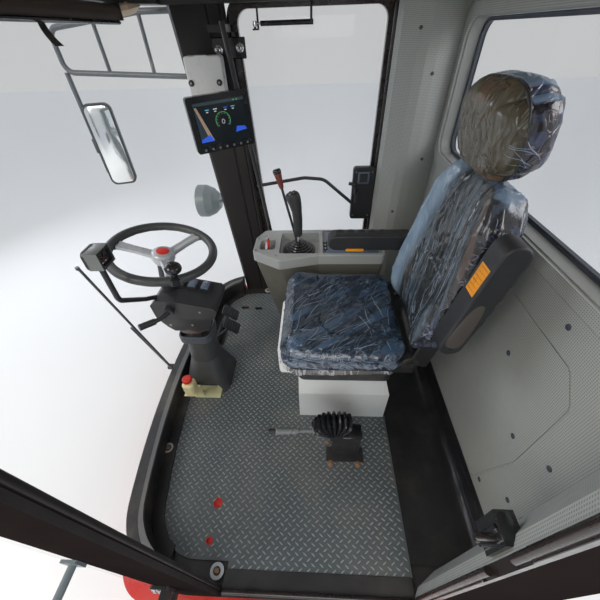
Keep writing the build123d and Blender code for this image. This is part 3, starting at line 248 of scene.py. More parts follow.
def veil(name, tint, low, high):
    """Film hanging free: see-through, and whiter along its fine upright creases with painted highlights."""
    g, tint = Graph(name), colour(*tint)
    lines = g.ridge(26, 0.06, g.along((0, 0, 0), (1, 1, 3)), 1.0, 2)
    soft = g.span(g.noise(22, 3), 0.35, 0.7)
    return g.finish(g.mix(lines, scaled(tint, 0.8), scaled(tint, 1.2)), 0.2, True, Normal=g.bump(lines, 0.5, 0.003),
                    Alpha=g.span(g.most(lines, g.times(soft, 0.5)), 0, 1, low, high), IOR=1.5, Specular_IOR_Level=0.8)


def screen(name, *rgb):
    """A lit screen area: a faint pixel raster under glass."""
    g, rgb = Graph(name), colour(*rgb)
    base = g.mix(g.span(g.cells(2600), 0.2, 0.6), scaled(rgb, 1.1), scaled(rgb, 0.8))
    return g.finish(base, 0.16, Emission_Color=base, Emission_Strength=0.55)


SCREEN_COLOURS = {
    "dark": (20, 26, 30), "bar": (48, 62, 68), "cyan": (92, 190, 214), "white": (204, 214, 218),
    "orange": (226, 120, 54), "road": (44, 56, 66), "blue": (52, 94, 214), "green": (84, 186, 110),
    "red": (206, 66, 56), "sand": (150, 128, 112),
}
M = {
    "red": plain("red_paint", (186, 40, 32), 0.28, 0.1, dust=0.12, Coat_Weight=0.5),
    "roof": plain("roof_paint", (186, 40, 32), 0.3, 0.08, dust=0.1, Coat_Weight=0.5),
    "black_paint": plain("black_paint", (38, 38, 40), 0.38, 0.2, wear=0.15, dust=0.1),
    "pillar": plain("pillar_black", (36, 34, 34), 0.42, 0.12, 6, wear=0.05, dust=0.03, Specular_IOR_Level=0.25),
    "shell_black": plain("shell_black", (36, 31, 30), 0.7, 0.2, 6, Specular_IOR_Level=0.0),
    "lamp_grey": plain("lamp_housing", (106, 116, 120), 0.4, 0.15),
    "spoke": plain("spoke_silver", (186, 190, 195), 0.3, 0.06, depth=0.05, Metallic=0.25),
    "rim": plain("rim_rubber", (64, 67, 68), 0.44, 0.1, grain=1200, depth=0.15),
    "box_grey": plain("box_grey", (108, 113, 111), 0.4, 0.08),
    "washer": plain("washer_zinc", (168, 171, 170), 0.36, 0.1),
    "sleeve": plain("lever_sleeve", (124, 127, 126), 0.3, 0.15, Metallic=0.3),
    "bolt_brown": plain("bolt_plated", (150, 118, 90), 0.36, 0.2, Metallic=0.4),
    "neck": plain("neck_sleeve", (74, 58, 54), 0.3, 0.2, 12, depth=0.08, Coat_Weight=0.3),
    "arm_brown": plain("armrest_pad", (84, 78, 75), 0.48, 0.15, grain=1000, depth=0.2),
    "beige": plain("header_cover", (206, 186, 158), 0.5, 0.05, grain=900, depth=0.15),
    "door": plain("door_black", (40, 32, 31), 0.26, 0.3, 6, wear=0.1, dust=0.05, Coat_Weight=0.35),
    "plastic": plain("black_plastic", (44, 45, 47), 0.46, 0.15, grain=1400, depth=0.18),
    "plastic_gloss": plain("black_gloss", (32, 33, 35), 0.22, 0.15, depth=0.05),
    "column": plain("column_plastic", (62, 63, 64), 0.42, 0.14, grain=1200, depth=0.2, dust=0.12),
    "rubber": plain("rubber", (38, 38, 39), 0.62, 0.2, grain=700, depth=0.2, dust=0.1),
    "kerb": plain("kerb_rubber", (34, 34, 36), 0.46, 0.2, grain=900, depth=0.2, dust=0.22),
    "kerb_band": plain("kerb_band", (92, 92, 92), 0.55, 0.15, grain=800, depth=0.25, dust=0.3),
    "mat": plain("tread_mat", (78, 84, 86), 0.36, 0.22, 7, grain=500, depth=0.2, dust=0.16),
    # The tread bars are painted lighter than the mat: a painted glint on the rubber.
    "tread": plain("tread_bars", (132, 138, 136), 0.24, 0.2, 12, grain=500, depth=0.08, dust=0.15),
    "sheet": plain("smooth_mat", (34, 35, 37), 0.2, 0.3, 5, grain=120, depth=0.15, dust=0.1),
    "wall": perforated("wall_lining", (172, 175, 170)),
    "surround": plain("window_surround", (150, 152, 148), 0.42, 0.06, grain=1500, depth=0.15),
    "liner": cloth("headliner", (178, 166, 146), 900, 0.1),
    "blind": cloth("blind_cloth", (62, 50, 44), 1200, 0.1),
    "glass": glass("screen_glass", (225, 236, 236), 0.07),
    "side_glass": glass("side_glass", (205, 216, 218), 0.1),
    "shell": plain("console_shell", (160, 163, 160), 0.4, 0.06, grain=1500, depth=0.15),
    "console": plain("console_body", (104, 102, 92), 0.46, 0.08, grain=1200, depth=0.2, dust=0.1),
    "deck": plain("console_deck", (96, 108, 124), 0.42, 0.08, grain=1200, depth=0.12),
    "white_paint": plain("seat_box_paint", (206, 208, 206), 0.34, 0.05, dust=0.08),
    "white_plastic": plain("white_plastic", (224, 226, 224), 0.32, 0.04),
    "orange": plain("orange_plastic", (244, 160, 34), 0.34, 0.06, grain=900, depth=0.1),
    "red_plastic": plain("red_plastic", (206, 44, 30), 0.36, 0.08),
    "cream": plain("bottle_plastic", (214, 204, 158), 0.36, 0.08, Subsurface_Weight=0.2),
    "grey_tube": plain("grey_tube", (78, 84, 90), 0.36, 0.12),
    "silver": metal("silver", (206, 208, 212), 0.24),
    "steel": metal("steel", (168, 168, 166), 0.32, (1, 1, 12)),
    "chrome": metal("chrome", (226, 228, 232), 0.1, depth=0.02),
    "mirror": metal("mirror_glass", (236, 240, 242), 0.04, depth=0.0),
    "seat_cloth": cloth("seat_cloth", (38, 44, 56), 1500, 0.35),
    "black_steel": plain("lever_steel", (30, 31, 33), 0.25, 0.1),
    "knob_wood": plain("lever_knob", (112, 46, 34), 0.3, 0.25, 30, Coat_Weight=0.4),
    "switch_blue": plain("switch_caps", (104, 118, 138), 0.35, 0.08),
    "collar_rubber": plain("collar_rubber", (70, 76, 82), 0.42, 0.1),
    "back_cloth": cloth("back_cloth", (72, 70, 68), 1500, 0.3),
    "head_cloth": cloth("headrest_cloth", (98, 90, 74), 1500, 0.3),
    # Each film's first colour is the cloth's own; the rest are painted light: sheen, a warm reflection, glints, the
    # near side's shade, sheen and glints, and the sky's reflection on the top and the far side.
    "film_blue": film("film_over_cushion", (30, 44, 60), (72, 102, 134), (42, 50, 58), (150, 172, 196),
                      (((0, 0, 38), (12, 1, 1), 46, 0.025, 0.8), ((0, 0, 62), (12, 1, 1), 60, 0.03, 0.6)),
                      ((48, 56, 70), (104, 116, 132), (186, 190, 196))),
    "film_back": film("film_over_back", (46, 49, 50), (104, 120, 132), (128, 98, 76), (188, 200, 210),
                      (((18, -10, 0), (1, 1, 13), 46, 0.025, 0.8), ((30, -10, 0), (1, 1, 12), 60, 0.03, 0.7)),
                      ((34, 34, 42), (66, 76, 100), (170, 152, 170)), (128, 150, 174), far=(150, 176, 198)),
    "film_head": film("film_over_headrest", (82, 76, 60), (112, 106, 88), (150, 106, 74), (176, 170, 152),
                      (((8, -31, 0), (1, 1, 16), 60, 0.03, 0.6), ((14, -31, 0), (1, 1, 14), 40, 0.03, 0.6)),
                      ((36, 34, 44), (60, 68, 98), (170, 130, 150)), (146, 174, 208), whole=True),
    "veil": veil("film_skirt", (172, 170, 172), 0.22, 0.72),
    # The crease ridges' pale colours are painted highlights.
    "crease": plain("film_crease_glint", (158, 176, 198), 0.16, 0.25, 40, depth=0.02, Alpha=0.8, Specular_IOR_Level=0.9),
    "crease_grey": plain("film_crease_glint_grey", (128, 124, 108), 0.18, 0.3, 40, depth=0.02, Alpha=0.75,
                         Specular_IOR_Level=0.9),
    "lamp_glass": glass("lamp_glass", (236, 240, 240), 0.5),
    "key_grey": plain("display_keys", (120, 124, 128), 0.4, 0.05),
    **{f"screen_{key}": screen(f"screen_{key}", *rgb) for key, rgb in SCREEN_COLOURS.items()},
    "clip": plain("trim_clip", (70, 76, 86), 0.4, 0.1),
    "seal": plain("door_seal", (34, 27, 25), 0.3, 0.3, 8, grain=600, depth=0.12, Coat_Weight=0.3),
    "grip": plain("grip_rubber", (46, 47, 48), 0.5, 0.12, grain=1000, depth=0.25),
}
NODE_LOOK = {
    "red": "base_frame",
    "roof": "roof",
    "black_paint": "floor_pan door_sills hinge_leaves display_pole brake_bracket seat_carrier top_rail wiper",
    "pillar": "front_pillars",
    "shell_black": "rear_shell",
    "door": "door_frame_left door_frame_right",
    "plastic": "door_fittings_left door_fittings_right mirror_heads column_head instrument_box pedals armrest_left "
               "armrest_right steering_wheel control_levers",
    "plastic_gloss": "display stay_tube_left stay_tube_right",
    "column": "column_base",
    "rubber": "rubber_mounts brake_gaiter seat_bellows lever_gate",
    "kerb": "front_kerb",
    "mat": "floor_mat",
    "sheet": "rear_mat",
    "wall": "rear_trim rear_quarters",
    "liner": "headliner",
    "blind": "roller_blind",
    "glass": "windscreen",
    "side_glass": "door_glass_left door_glass_right rear_glass",
    "shell": "console_shell",
    "console": "console_body",
    "white_paint": "seat_base",
    "white_plastic": "seat_apron relay_case",
    "orange": "armrest_block_left armrest_block_right",
    "red_plastic": "reservoir_cap",
    "cream": "brake_reservoir",
    "grey_tube": "mirror_frames",
    "lamp_grey": "work_lamps",
    "chrome": "stay_rod_left stay_rod_right",
    "seat_cloth": "seat_cushion seat_back headrest",
}
for look, names in NODE_LOOK.items():
    for name in names.split():
        nodes[name].data.materials.clear()
        nodes[name].data.materials.append(M[look])


# Mesh helpers.
def piece(name, verts, faces, looks, body, smooth=True, merge=False):
    """A new mesh piece in the row frame that rides on a body."""
    mesh = bpy.data.meshes.new(name)
    mesh.from_pydata([tuple(v) for v in verts], [], faces)
    b = bmesh.new()
    b.from_mesh(mesh)
    if merge:
        bmesh.ops.remove_doubles(b, verts=b.verts, dist=2e-5)
    bmesh.ops.recalc_face_normals(b, faces=b.faces)
    b.to_mesh(mesh)
    b.free()
    mesh.polygons.foreach_set("use_smooth", [smooth] * len(mesh.polygons))
    for look in looks:
        mesh.materials.append(M[look])
    obj = bpy.data.objects.new(name, mesh)
    scene.collection.objects.link(obj)
    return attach(obj, body)


def sharpen(mesh, limit=math.radians(38)):
    """Marks edges over an angle as sharp, so smooth shading keeps the corners."""
    b = bmesh.new()
    b.from_mesh(mesh)
    for e in b.edges:
        e.smooth = len(e.link_faces) == 2 and e.calc_face_angle(0) < limit
    b.to_mesh(mesh)
    b.free()


def turns(n):
    return [2 * math.pi * j / n for j in range(n)]


def over_floor(x, y, height):
    return Vector((x, y, FLOOR + height))


class Build:
    """Collects simple solids into one mesh. A look is a number in the list of looks given to make()."""

    def __init__(self):
        self.verts, self.faces, self.looks = [], [], []

    def add(self, verts, faces, look=0):
        n = len(self.verts)
        self.verts += [tuple(v) for v in verts]
        self.faces += [[i + n for i in f] for f in faces]
        self.looks += [look] * len(faces)

    def block(self, centre, size, look=0, ease=0.0, axes=None):
        """A box with eased edges. Axes is a 3x3 matrix whose columns are its own directions."""
        axes = axes or Matrix.Identity(3)
        h = Vector(size) / 2
        e = min(ease, min(h) * 0.9)
        rings = []
        for z, pull in ((-h.z, e), (-h.z + e, 0), (h.z - e, 0), (h.z, e)) if e else ((-h.z, 0), (h.z, 0)):
            x, y = h.x - pull, h.y - pull
            ring = [(x, -y), (x, y), (-x, y), (-x, -y)]
            if e:
                ring = [(x - e, -y), (x, -y + e), (x, y - e), (x - e, y),
                        (-x + e, y), (-x, y - e), (-x, -y + e), (-x + e, -y)]
            rings.append([Vector(centre) + axes @ Vector((*p, z)) for p in ring])
        self.rings(rings, look)

    def rings(self, rings, look=0, capped=True):
        n, last = len(rings[0]), len(rings) - 1
        faces = [[i * n + j, i * n + (j + 1) % n, (i + 1) * n + (j + 1) % n, (i + 1) * n + j]
                 for i in range(last) for j in range(n)]
        if capped:
            faces += [list(range(n))[::-1], [last * n + j for j in range(n)]]
        self.add([v for ring in rings for v in ring], faces, look)

    def turned(self, start, way, profile, sides=24, look=0):
        """A solid of revolution: profile pairs are distance along the way and radius."""
        way = Vector(way).normalized()
        side = way.orthogonal().normalized()
        up = way.cross(side)
        self.rings([[Vector(start) + way * s + (side * math.cos(a) + up * math.sin(a)) * max(r, 1e-5)
                     for a in turns(sides)] for s, r in profile], look)

    def stud(self, start, way, profile, sides=24, look=0):
        """The same, begun on the axis and closed by a flat end if the profile doesn't end there."""
        end = [(profile[-1][0], 0)] if profile[-1][1] else []
        self.turned(start, way, [(profile[0][0], 0), *profile, *end], sides, look)

    def bolt(self, place, way, r, head, look=0, washer=True):
        """A hexagon head on a washer."""
        if washer:
            self.stud(place, way, [(-0.002, r * 1.75), (0.0014, r * 1.75), (0.0022, r * 1.5)], 24, look)
        self.stud(place, way, [(0.0, r), (0.002 + head * 0.8, r), (0.002 + head, r * 0.82)], 6, look)

    def swept(self, points, radius, sides=12, look=0, closed=False):
        """A round section carried along points. Radius is one number or one for each point."""
        pts = [Vector(p) for p in points]
        radii = radius if isinstance(radius, list) else [radius] * len(pts)
        normal, last, rings = None, len(pts) - 1, []
        for i, (p, r) in enumerate(zip(pts, radii)):
            a, b = (pts[i - 1], pts[(i + 1) % len(pts)]) if closed else (pts[max(0, i - 1)], pts[min(last, i + 1)])
            way = (b - a).normalized()
            if normal is None:
                normal = way.orthogonal().normalized()
            normal = (normal - way * normal.dot(way)).normalized()
            side = way.cross(normal)
            rings.append([p + (normal * math.cos(t) + side * math.sin(t)) * r for t in turns(sides)])
        self.rings(rings + rings[:1] if closed else rings, look, not closed)

    def move(self, place, mirrored):
        self.verts = [tuple(place @ Vector(v)) for v in self.verts]
        if mirrored:
            self.faces = [f[::-1] for f in self.faces]

    def make(self, name, looks, body="cab", smooth=True):
        obj = piece(name, self.verts, self.faces, looks, body, smooth)
        obj.data.polygons.foreach_set("material_index", self.looks)
        if smooth:
            sharpen(obj.data)
        return obj


def on_block(half, radii, p):
    """The place and direction on a rounded block for a point on the cube from -1 to 1."""
    q = [max(-(h - r), min(h - r, c * h)) for c, h, r in zip(p, half, radii)]
    d = Vector([(c * h - b) / r for c, h, b, r in zip(p, half, q, radii)])
    n = d.normalized() if d.length > 1e-9 else Vector(UP)
    v = Vector([b + m * r for b, m, r in zip(q, n, radii)])
    return v, Vector([m / r for m, r in zip(n, radii)]).normalized()


def on_cube(axis, sign, u, v):
    p = [0.0, 0.0, 0.0]
    p[axis], p[(axis + 1) % 3], p[(axis + 2) % 3] = sign, u, v
    return p


def pad_mesh(half, radii, shape, step):
    """Vertices and faces of a rounded block of half sizes, each point and its direction passed through shape."""
    verts, faces, index = [], [], {}
    for axis in range(3):
        na, nb = (max(2, round(2 * half[(axis + k) % 3] / step)) for k in (1, 2))
        for sign in (-1, 1):
            grid = []
            for i in range(na + 1):
                grid.append([])
                for j in range(nb + 1):
                    v, n = on_block(half, radii, on_cube(axis, sign, 2 * i / na - 1, 2 * j / nb - 1))
                    key = tuple(round(c * 2e5) for c in v)
                    if key not in index:
                        index[key] = len(verts)
                        verts.append(shape(v, n))
                    grid[-1].append(index[key])
            for i in range(na):
                for j in range(nb):
                    f = [grid[i][j], grid[i + 1][j], grid[i + 1][j + 1], grid[i][j + 1]][::sign]
                    if len(set(f)) > 2:
                        faces.append([v for k, v in enumerate(f) if v not in f[:k]])
    return verts, faces


def bell(x, width):
    return math.exp(-(x / width) ** 2)


def step_up(x, low, high):
    t = max(0.0, min(1.0, (x - low) / (high - low)))
    return t * t * (3 - 2 * t)


def wander(x, y, z):
    return noise.noise(Vector((x, y, z)))


def squared(t, power):
    """A cosine or sine drawn towards a square's side, its sign kept."""
    return math.copysign(abs(t) ** power, t)


def soft_square(n, power, centre, half):
    """Points round a square with soft corners."""
    return [[c + squared(f(a), power) * h for f, c, h in zip((math.cos, math.sin), centre, half)] for a in turns(n)]


def tipped(angle, place):
    """A frame at a place, its x raised by an angle."""
    c, s = math.cos(angle), math.sin(angle)
    return Matrix(((c, 0, -s, place[0]), (0, 1, 0, place[1]), (s, 0, c, place[2]), (0, 0, 0, 1)))


# The camera stands where the photographer did, in the left doorway. Its pose was solved from the photo.
camera = bpy.data.objects.new("camera", bpy.data.cameras.new("camera"))
scene.collection.objects.link(camera)
to_right = Vector((-0.998885, -0.039362, -0.026076))
to_above = Vector((0.006507, -0.661771, 0.749678))
to_behind = Vector((-0.046765, 0.748672, 0.661289))
camera.matrix_world = (Matrix.Translation(over_floor(0, 0.92, 1.4))
                       @ Matrix((to_right, to_above, to_behind)).transposed().to_4x4())
SENSOR, FOCAL_PIXELS, PICTURE_PIXELS = 36, 304.32, 600
camera.data.sensor_width = SENSOR
camera.data.lens = SENSOR * FOCAL_PIXELS / PICTURE_PIXELS
camera.data.clip_start = 0.02
scene.camera = camera


# Seat. Each pad is its own shape with a loose clear film wrapped over it.
FILM_LIFT, CREASE_LIFT = 0.003, 0.0035


def folds(u, v, families):
    """Height from 0 to 1 of creases in a wrapping film at a place on its surface, in metres.
    A family is angle, distance between creases, how far they wander, seed, and the share left bare."""
    top = 0.0
    for angle, wave, warp, seed, low in families:
        a = math.radians(angle)
        along, across = u * math.cos(a) + v * math.sin(a), v * math.cos(a) - u * math.sin(a)
        bend = wander(along * 5, across * 9, seed) * warp
        bend += wander(along * 19, across * 31, seed + 7) * warp * 0.3
        t = across / wave + bend
        ridge = max(0.0, 1 - abs(t - round(t)) * 5.5) ** 2
        mask = wander(along * 7 + seed, across * 16, round(t) * 3.7)
        top = max(top, ridge * max(0.0, min(1.0, (mask - low) * 4)))
    return top


def crumple(p, scale, seed):
    """Sharp-ridged noise from 0 to about 1, for creased film."""
    q = Vector((p.x * scale + seed, p.y * scale + seed * 0.7, p.z * scale - seed))
    q += noise.noise_vector(q * 0.5) * 0.55
    return sum(amp * (1 - abs(noise.noise(q * k))) ** 3 for k, amp in ((1.0, 0.6), (2.1, 0.28), (4.3, 0.12)))


def raised(shape, v, n, lift):
    """A point held over a pad, along the pad's own outward direction once it is turned into place."""
    at = shape(v)
    return at + (shape(v + n * 0.001) - at).normalized() * lift


def wrapped(name, half, radii, shape, families, zones, body, cad_node, pad_look, film_look, step, rise):
    """A crowned pad and the film round it. Zones gives a point's shares of the film's near and far zones."""
    pad = piece(f"{name}_pad", *pad_mesh(half, radii, lambda v, n: shape(v), step * 1.5), [pad_look], body, merge=True)
    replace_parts(pad, cad_node)
    layers = {"fold": [], "near": [], "far": []}

    def film_shape(v, n):
        a, b = (1, 2) if abs(n.x) > 0.6 else (0, 1) if abs(n.z) > 0.6 else (0, 2)
        f = folds(v[a], v[b], families)
        small = crumple(v, 34, len(name)) ** 2
        for layer, value in zip(layers.values(), (min(1.0, f + 0.35 * small), *zones(v, n))):
            layer.append(value)
        return raised(shape, v, n, FILM_LIFT + rise * f + 0.0015 * small)

    cover = piece(f"{name}_film", *pad_mesh(half, radii, film_shape, step), [film_look], body)
    for layer, values in layers.items():
        cover.data.attributes.new(layer, "FLOAT", "POINT").data.foreach_set("value", values)


def creases(name, half, radii, shape, bundles, look, body):
    """Sharp standing folds of the film: thin tapering ridges lying along a pad in bundles. A bundle is face axis
    and sign, centre and spread on the face from -1 to 1, angle and its spread, length in metres and count."""
    rng = random.Random(len(name) + len(bundles))
    parts = Build()
    for axis, sign, centre, around, angle, fan, length, count in bundles:
        a, b = (axis + 1) % 3, (axis + 2) % 3
        for _ in range(count):
            u, v = (c + rng.uniform(-1, 1) * w for c, w in zip(centre, around))
            turn = math.radians(angle + rng.gauss(0, fan))
            size, bend, wag = length * rng.uniform(0.35, 1.1), rng.gauss(0, 1.3), rng.uniform(0, 6)
            thick = rng.uniform(0.0005, 0.0013)
            spots = []
            for k in range(17):
                t = k / 16 - 0.5
                run, off = size * t, bend * size * size * t * t + 0.0016 * math.sin(wag + 9 * t)
                pa = u + (run * math.cos(turn) - off * math.sin(turn)) / half[a]
                pb = v + (run * math.sin(turn) + off * math.cos(turn)) / half[b]
                if max(abs(pa), abs(pb)) > 1:
                    break
                spots.append(raised(shape, *on_block(half, radii, on_cube(axis, sign, pa, pb)), CREASE_LIFT))
            last = len(spots) - 1
            if last > 4:
                parts.swept(spots, [thick * max(0.08, math.sin(math.pi * k / last)) for k in range(last + 1)], 5)
    parts.make(name, [look], body)


cushion_low, cushion_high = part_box("seat_cushion")
C_CENTRE, C_HALF = (cushion_low + cushion_high) / 2, (cushion_high - cushion_low) / 2


def cushion_shape(v):
    x, y = v.x / C_HALF.x, v.y / C_HALF.y
    top = step_up(v.z, -0.01, 0.03)
    z = v.z + top * (0.01 * bell(abs(y) - 0.8, 0.2) - 0.012 * bell(y, 0.5) * bell(x + 0.2, 0.6))
    z += top * (0.012 * step_up(x, 0.3, 0.75) - 0.022 * step_up(x, 0.8, 1.0))
    panel = bell(abs(v.y) - 0.15 + 0.1 * step_up(v.x, 0.02, 0.12), 0.004) * step_up(0.1 - v.x, 0, 0.03)
    z -= top * 0.007 * panel
    pinch = 1 - 0.03 * (1 - step_up(abs(v.z), 0.0, 0.03))
    return Vector((v.x * pinch, v.y * pinch, z)) + C_CENTRE


# The backrest's frame: x forward out of it, z up it, from its hinge.
BACK = tipped(math.radians(10.5), (-0.352, 0, 0.678))
BACK_LOW, BACK_HIGH = 0.044, 0.614
BACK_HALF = Vector((0.048, 0.242, (BACK_HIGH - BACK_LOW) / 2))
BACK_WIDTHS = ((0.044, 0.205), (0.12, 0.226), (0.25, 0.242), (0.41, 0.236), (0.54, 0.205), (0.614, 0.16))


def back_width(h):
    """The backrest's half width at a height, read from its rows of height and half width."""
    for (a, wa), (b, wb) in zip(BACK_WIDTHS, BACK_WIDTHS[1:]):
        if h <= b:
            return wa + (wb - wa) * max(0.0, (h - a) / (b - a))
    return wb


def back_shape(v):
    h = v.z + (BACK_LOW + BACK_HIGH) / 2
    share, wide = abs(v.y) / BACK_HALF.y, abs(v.y)
    front = step_up(v.x, 0.0, 0.03)
    x = v.x + front * (0.016 * bell(share - 0.84, 0.2) - 0.016 * bell(share, 0.5))
    x += front * (0.01 * bell(h - 0.17, 0.1) - 0.012 * step_up(h, 0.5, 0.61))
    upright = bell(wide - 0.125 + 0.03 * step_up(h, 0.3, 0.6), 0.004)
    level = bell(h - 0.315, 0.004) * step_up(0.13 - wide, 0, 0.01)
    x -= front * 0.006 * min(1.0, upright + level)
    return BACK @ Vector((x - 0.044, v.y / BACK_HALF.y * back_width(h), h))


HEAD = BACK @ Matrix.Translation((-0.046, 0, 0.628)) @ Matrix.Rotation(math.radians(20.5), 4, "Y")
HEAD_HALF = Vector((0.069, 0.149, 0.1125))
HEAD_ROUND = 3.4


def head_taper(height):
    """The headrest's width against its own at mid height, for a height from -1 to 1."""
    return 1 - 0.07 * step_up(-height, 0.3, 1.0)


def head_shape(v):
    a, b = v.y / HEAD_HALF.y, v.z / HEAD_HALF.z
    far = max(abs(a), abs(b))
    if far > 1e-6:
        k = far / (abs(a) ** HEAD_ROUND + abs(b) ** HEAD_ROUND) ** (1 / HEAD_ROUND)
        a, b = a * k, b * k
    x = v.x + step_up(v.x, 0, 0.03) * (0.01 * (1 - a * a) * (1 - b * b) - 0.004)
    x += (1 - step_up(v.x, -0.05, 0.0)) * 0.01 * far ** 4
    return HEAD @ Vector((x, a * HEAD_HALF.y * head_taper(b), b * HEAD_HALF.z + HEAD_HALF.z))


ARM_X, ARM_Z, ARM_Y = -0.405, 0.89, 0.293


def make_seat():
    cushion = C_HALF, (0.065, 0.065, 0.03), cushion_shape
    back = BACK_HALF, (0.03, 0.045, 0.05), back_shape
    head = HEAD_HALF, (0.05, 0.046, 0.042), head_shape
    # The near and far zones mark where film() paints the near side's shade and glints and the far side's sky
    # reflection.
    wrapped("cushion", *cushion,
            ((62, 0.075, 0.9, 1.0, -0.05), (118, 0.095, 1.1, 5.0, 0.02), (20, 0.12, 1.0, 9.0, 0.05)),
            lambda v, n: (step_up(n.y, 0.35, 0.7), step_up(-n.y, 0.12, 0.5)),
            "seat", "seat_cushion", "seat_cloth", "film_blue", 0.0052, 0.004)
    wrapped("back", *back, ((96, 0.08, 1.0, 2.0, -0.05), (70, 0.1, 1.2, 6.0, 0.0), (35, 0.12, 1.0, 3.0, 0.08)),
            lambda v, n: (step_up(n.y, 0.35, 0.7), step_up(-v.y, 0.1, 0.17) * step_up(n.x + 0.6, 0, 0.5)),
            "backrest", "seat_back", "back_cloth", "film_back", 0.0056, 0.004)
    wrapped("headrest", *head, ((88, 0.045, 0.7, 2.0, -0.1), (60, 0.07, 1.0, 3.0, 0.1)),
            lambda v, n: (step_up(0.026 - v.x, 0.0, 0.014), 0.0),
            "backrest", "headrest", "head_cloth", "film_head", 0.0052, 0.003)
    creases("cushion_creases", *cushion, (
        (2, 1, (0.1, 0.1), (0.7, 0.7), 40, 6, 0.34, 11), (2, 1, (0.6, 0.2), (0.3, 0.6), 62, 9, 0.24, 8),
        (2, 1, (0.2, 0.75), (0.7, 0.18), 14, 8, 0.24, 9), (2, 1, (-0.6, 0.2), (0.3, 0.6), 96, 10, 0.2, 8),
        (1, 1, (0, 0), (0.9, 0.9), 84, 16, 0.12, 22), (0, 1, (0, 0), (0.9, 0.9), 60, 30, 0.08, 14)), "crease", "seat")
    creases("back_creases", *back, (
        (0, 1, (-0.6, 0.0), (0.3, 0.8), 86, 8, 0.34, 7), (0, 1, (0.1, 0.1), (0.5, 0.7), 104, 6, 0.42, 13),
        (0, 1, (0.62, -0.3), (0.25, 0.6), 114, 6, 0.36, 15), (0, 1, (0.55, -0.8), (0.35, 0.16), 150, 16, 0.16, 12),
        (1, 1, (0, 0), (0.9, 0.9), 84, 16, 0.22, 18), (1, 1, (0, 0), (0.9, 0.9), 20, 26, 0.07, 16)),
        "crease", "backrest")
    creases("headrest_creases", *head, ((0, 1, (0, 0), (0.8, 0.7), 97, 5, 0.2, 9),), "crease_grey", "backrest")
    creases("headrest_side_creases", *head, tuple((1, sign, (-0.4, 0), (0.5, 0.9), 66, 12, 0.15, count)
                                                  for sign, count in ((1, 10), (-1, 8))), "crease", "backrest")
    fittings = Build()
    for s in (-1, 1):
        fittings.swept([BACK @ Vector((-0.046, s * 0.06, h)) for h in (0.58, 0.68)], 0.007, 16)
        fittings.block(BACK @ Vector((-0.05, s * 0.2205, 0.05)) + Vector((0.02, 0, 0)), (0.07, 0.01, 0.11), 0, 0.004,
                       BACK.to_3x3())
        fittings.stud(BACK @ Vector((0, s * 0.2145, 0)), (0, s, 0),
                      [(0, 0.032), (0.01, 0.032), (0.013, 0.026), (0.013, 0.012), (0.019, 0.012)])
        fittings.stud((ARM_X, s * 0.222, ARM_Z), (0, s, 0), [(0, 0.01), (0.092, 0.01)])
    fittings.make("back_fittings", ["black_paint"], "backrest")
    sewn = Build()
    sewn.swept([HEAD @ Vector((0.02, y * head_taper(z / HEAD_HALF.z), z + HEAD_HALF.z))
                for y, z in soft_square(60, 0.59, (0, 0), HEAD_HALF.yz)], 0.0042, 8, closed=True)
    sewn.make("seat_piping", ["plastic"], "backrest")
    make_skirt()


def make_skirt():
    """The film's loose hem, hanging from the cushion's lower edge over the bellows."""
    x0, x1, y1, r = -0.285, C_CENTRE.x + C_HALF.x, C_HALF.y, 0.07
    quarter = [math.pi / 2 * k / 12 for k in range(1, 13)]
    path = [(x0 + (x1 - r - x0) * k / 30, y1) for k in range(31)]
    path += [(x1 - r + r * math.sin(a), y1 - r + r * math.cos(a)) for a in quarter]
    path += [(x1, y1 - r - (2 * y1 - 2 * r) * k / 34) for k in range(1, 35)]
    path += [(x1 - r + r * math.cos(a), -y1 + r - r * math.sin(a)) for a in quarter]
    path += [(x1 - r - 0.16 * k / 14, -y1) for k in range(1, 15)]
    rows, n = 7, len(path)
    verts = []
    for i, (x, y) in enumerate(path):
        before, after = path[max(0, i - 1)], path[min(n - 1, i + 1)]
        out = Vector((before[1] - after[1], after[0] - before[0])).normalized()
        drop = 0.012 + 0.014 * step_up(x, -0.25, 0.06) + 0.006 * wander(x * 16, y * 16, 3)
        for t in (k / (rows - 1) for k in range(rows)):
            wave = 0.004 * t * wander(x * 45, y * 45, 1.5) + 0.003 * t * wander(x * 110, y * 110, t * 2)
            push = 0.002 + 0.006 * t + wave
            verts.append((x + out.x * push, y + out.y * push, cushion_low.z + 0.016 - drop * t))
    faces = [[k, k + rows, k + rows + 1, k + 1] for k in range((n - 1) * rows) if k % rows < rows - 1]
    hem = piece("cushion_hem", verts, faces, ["veil"], "seat")


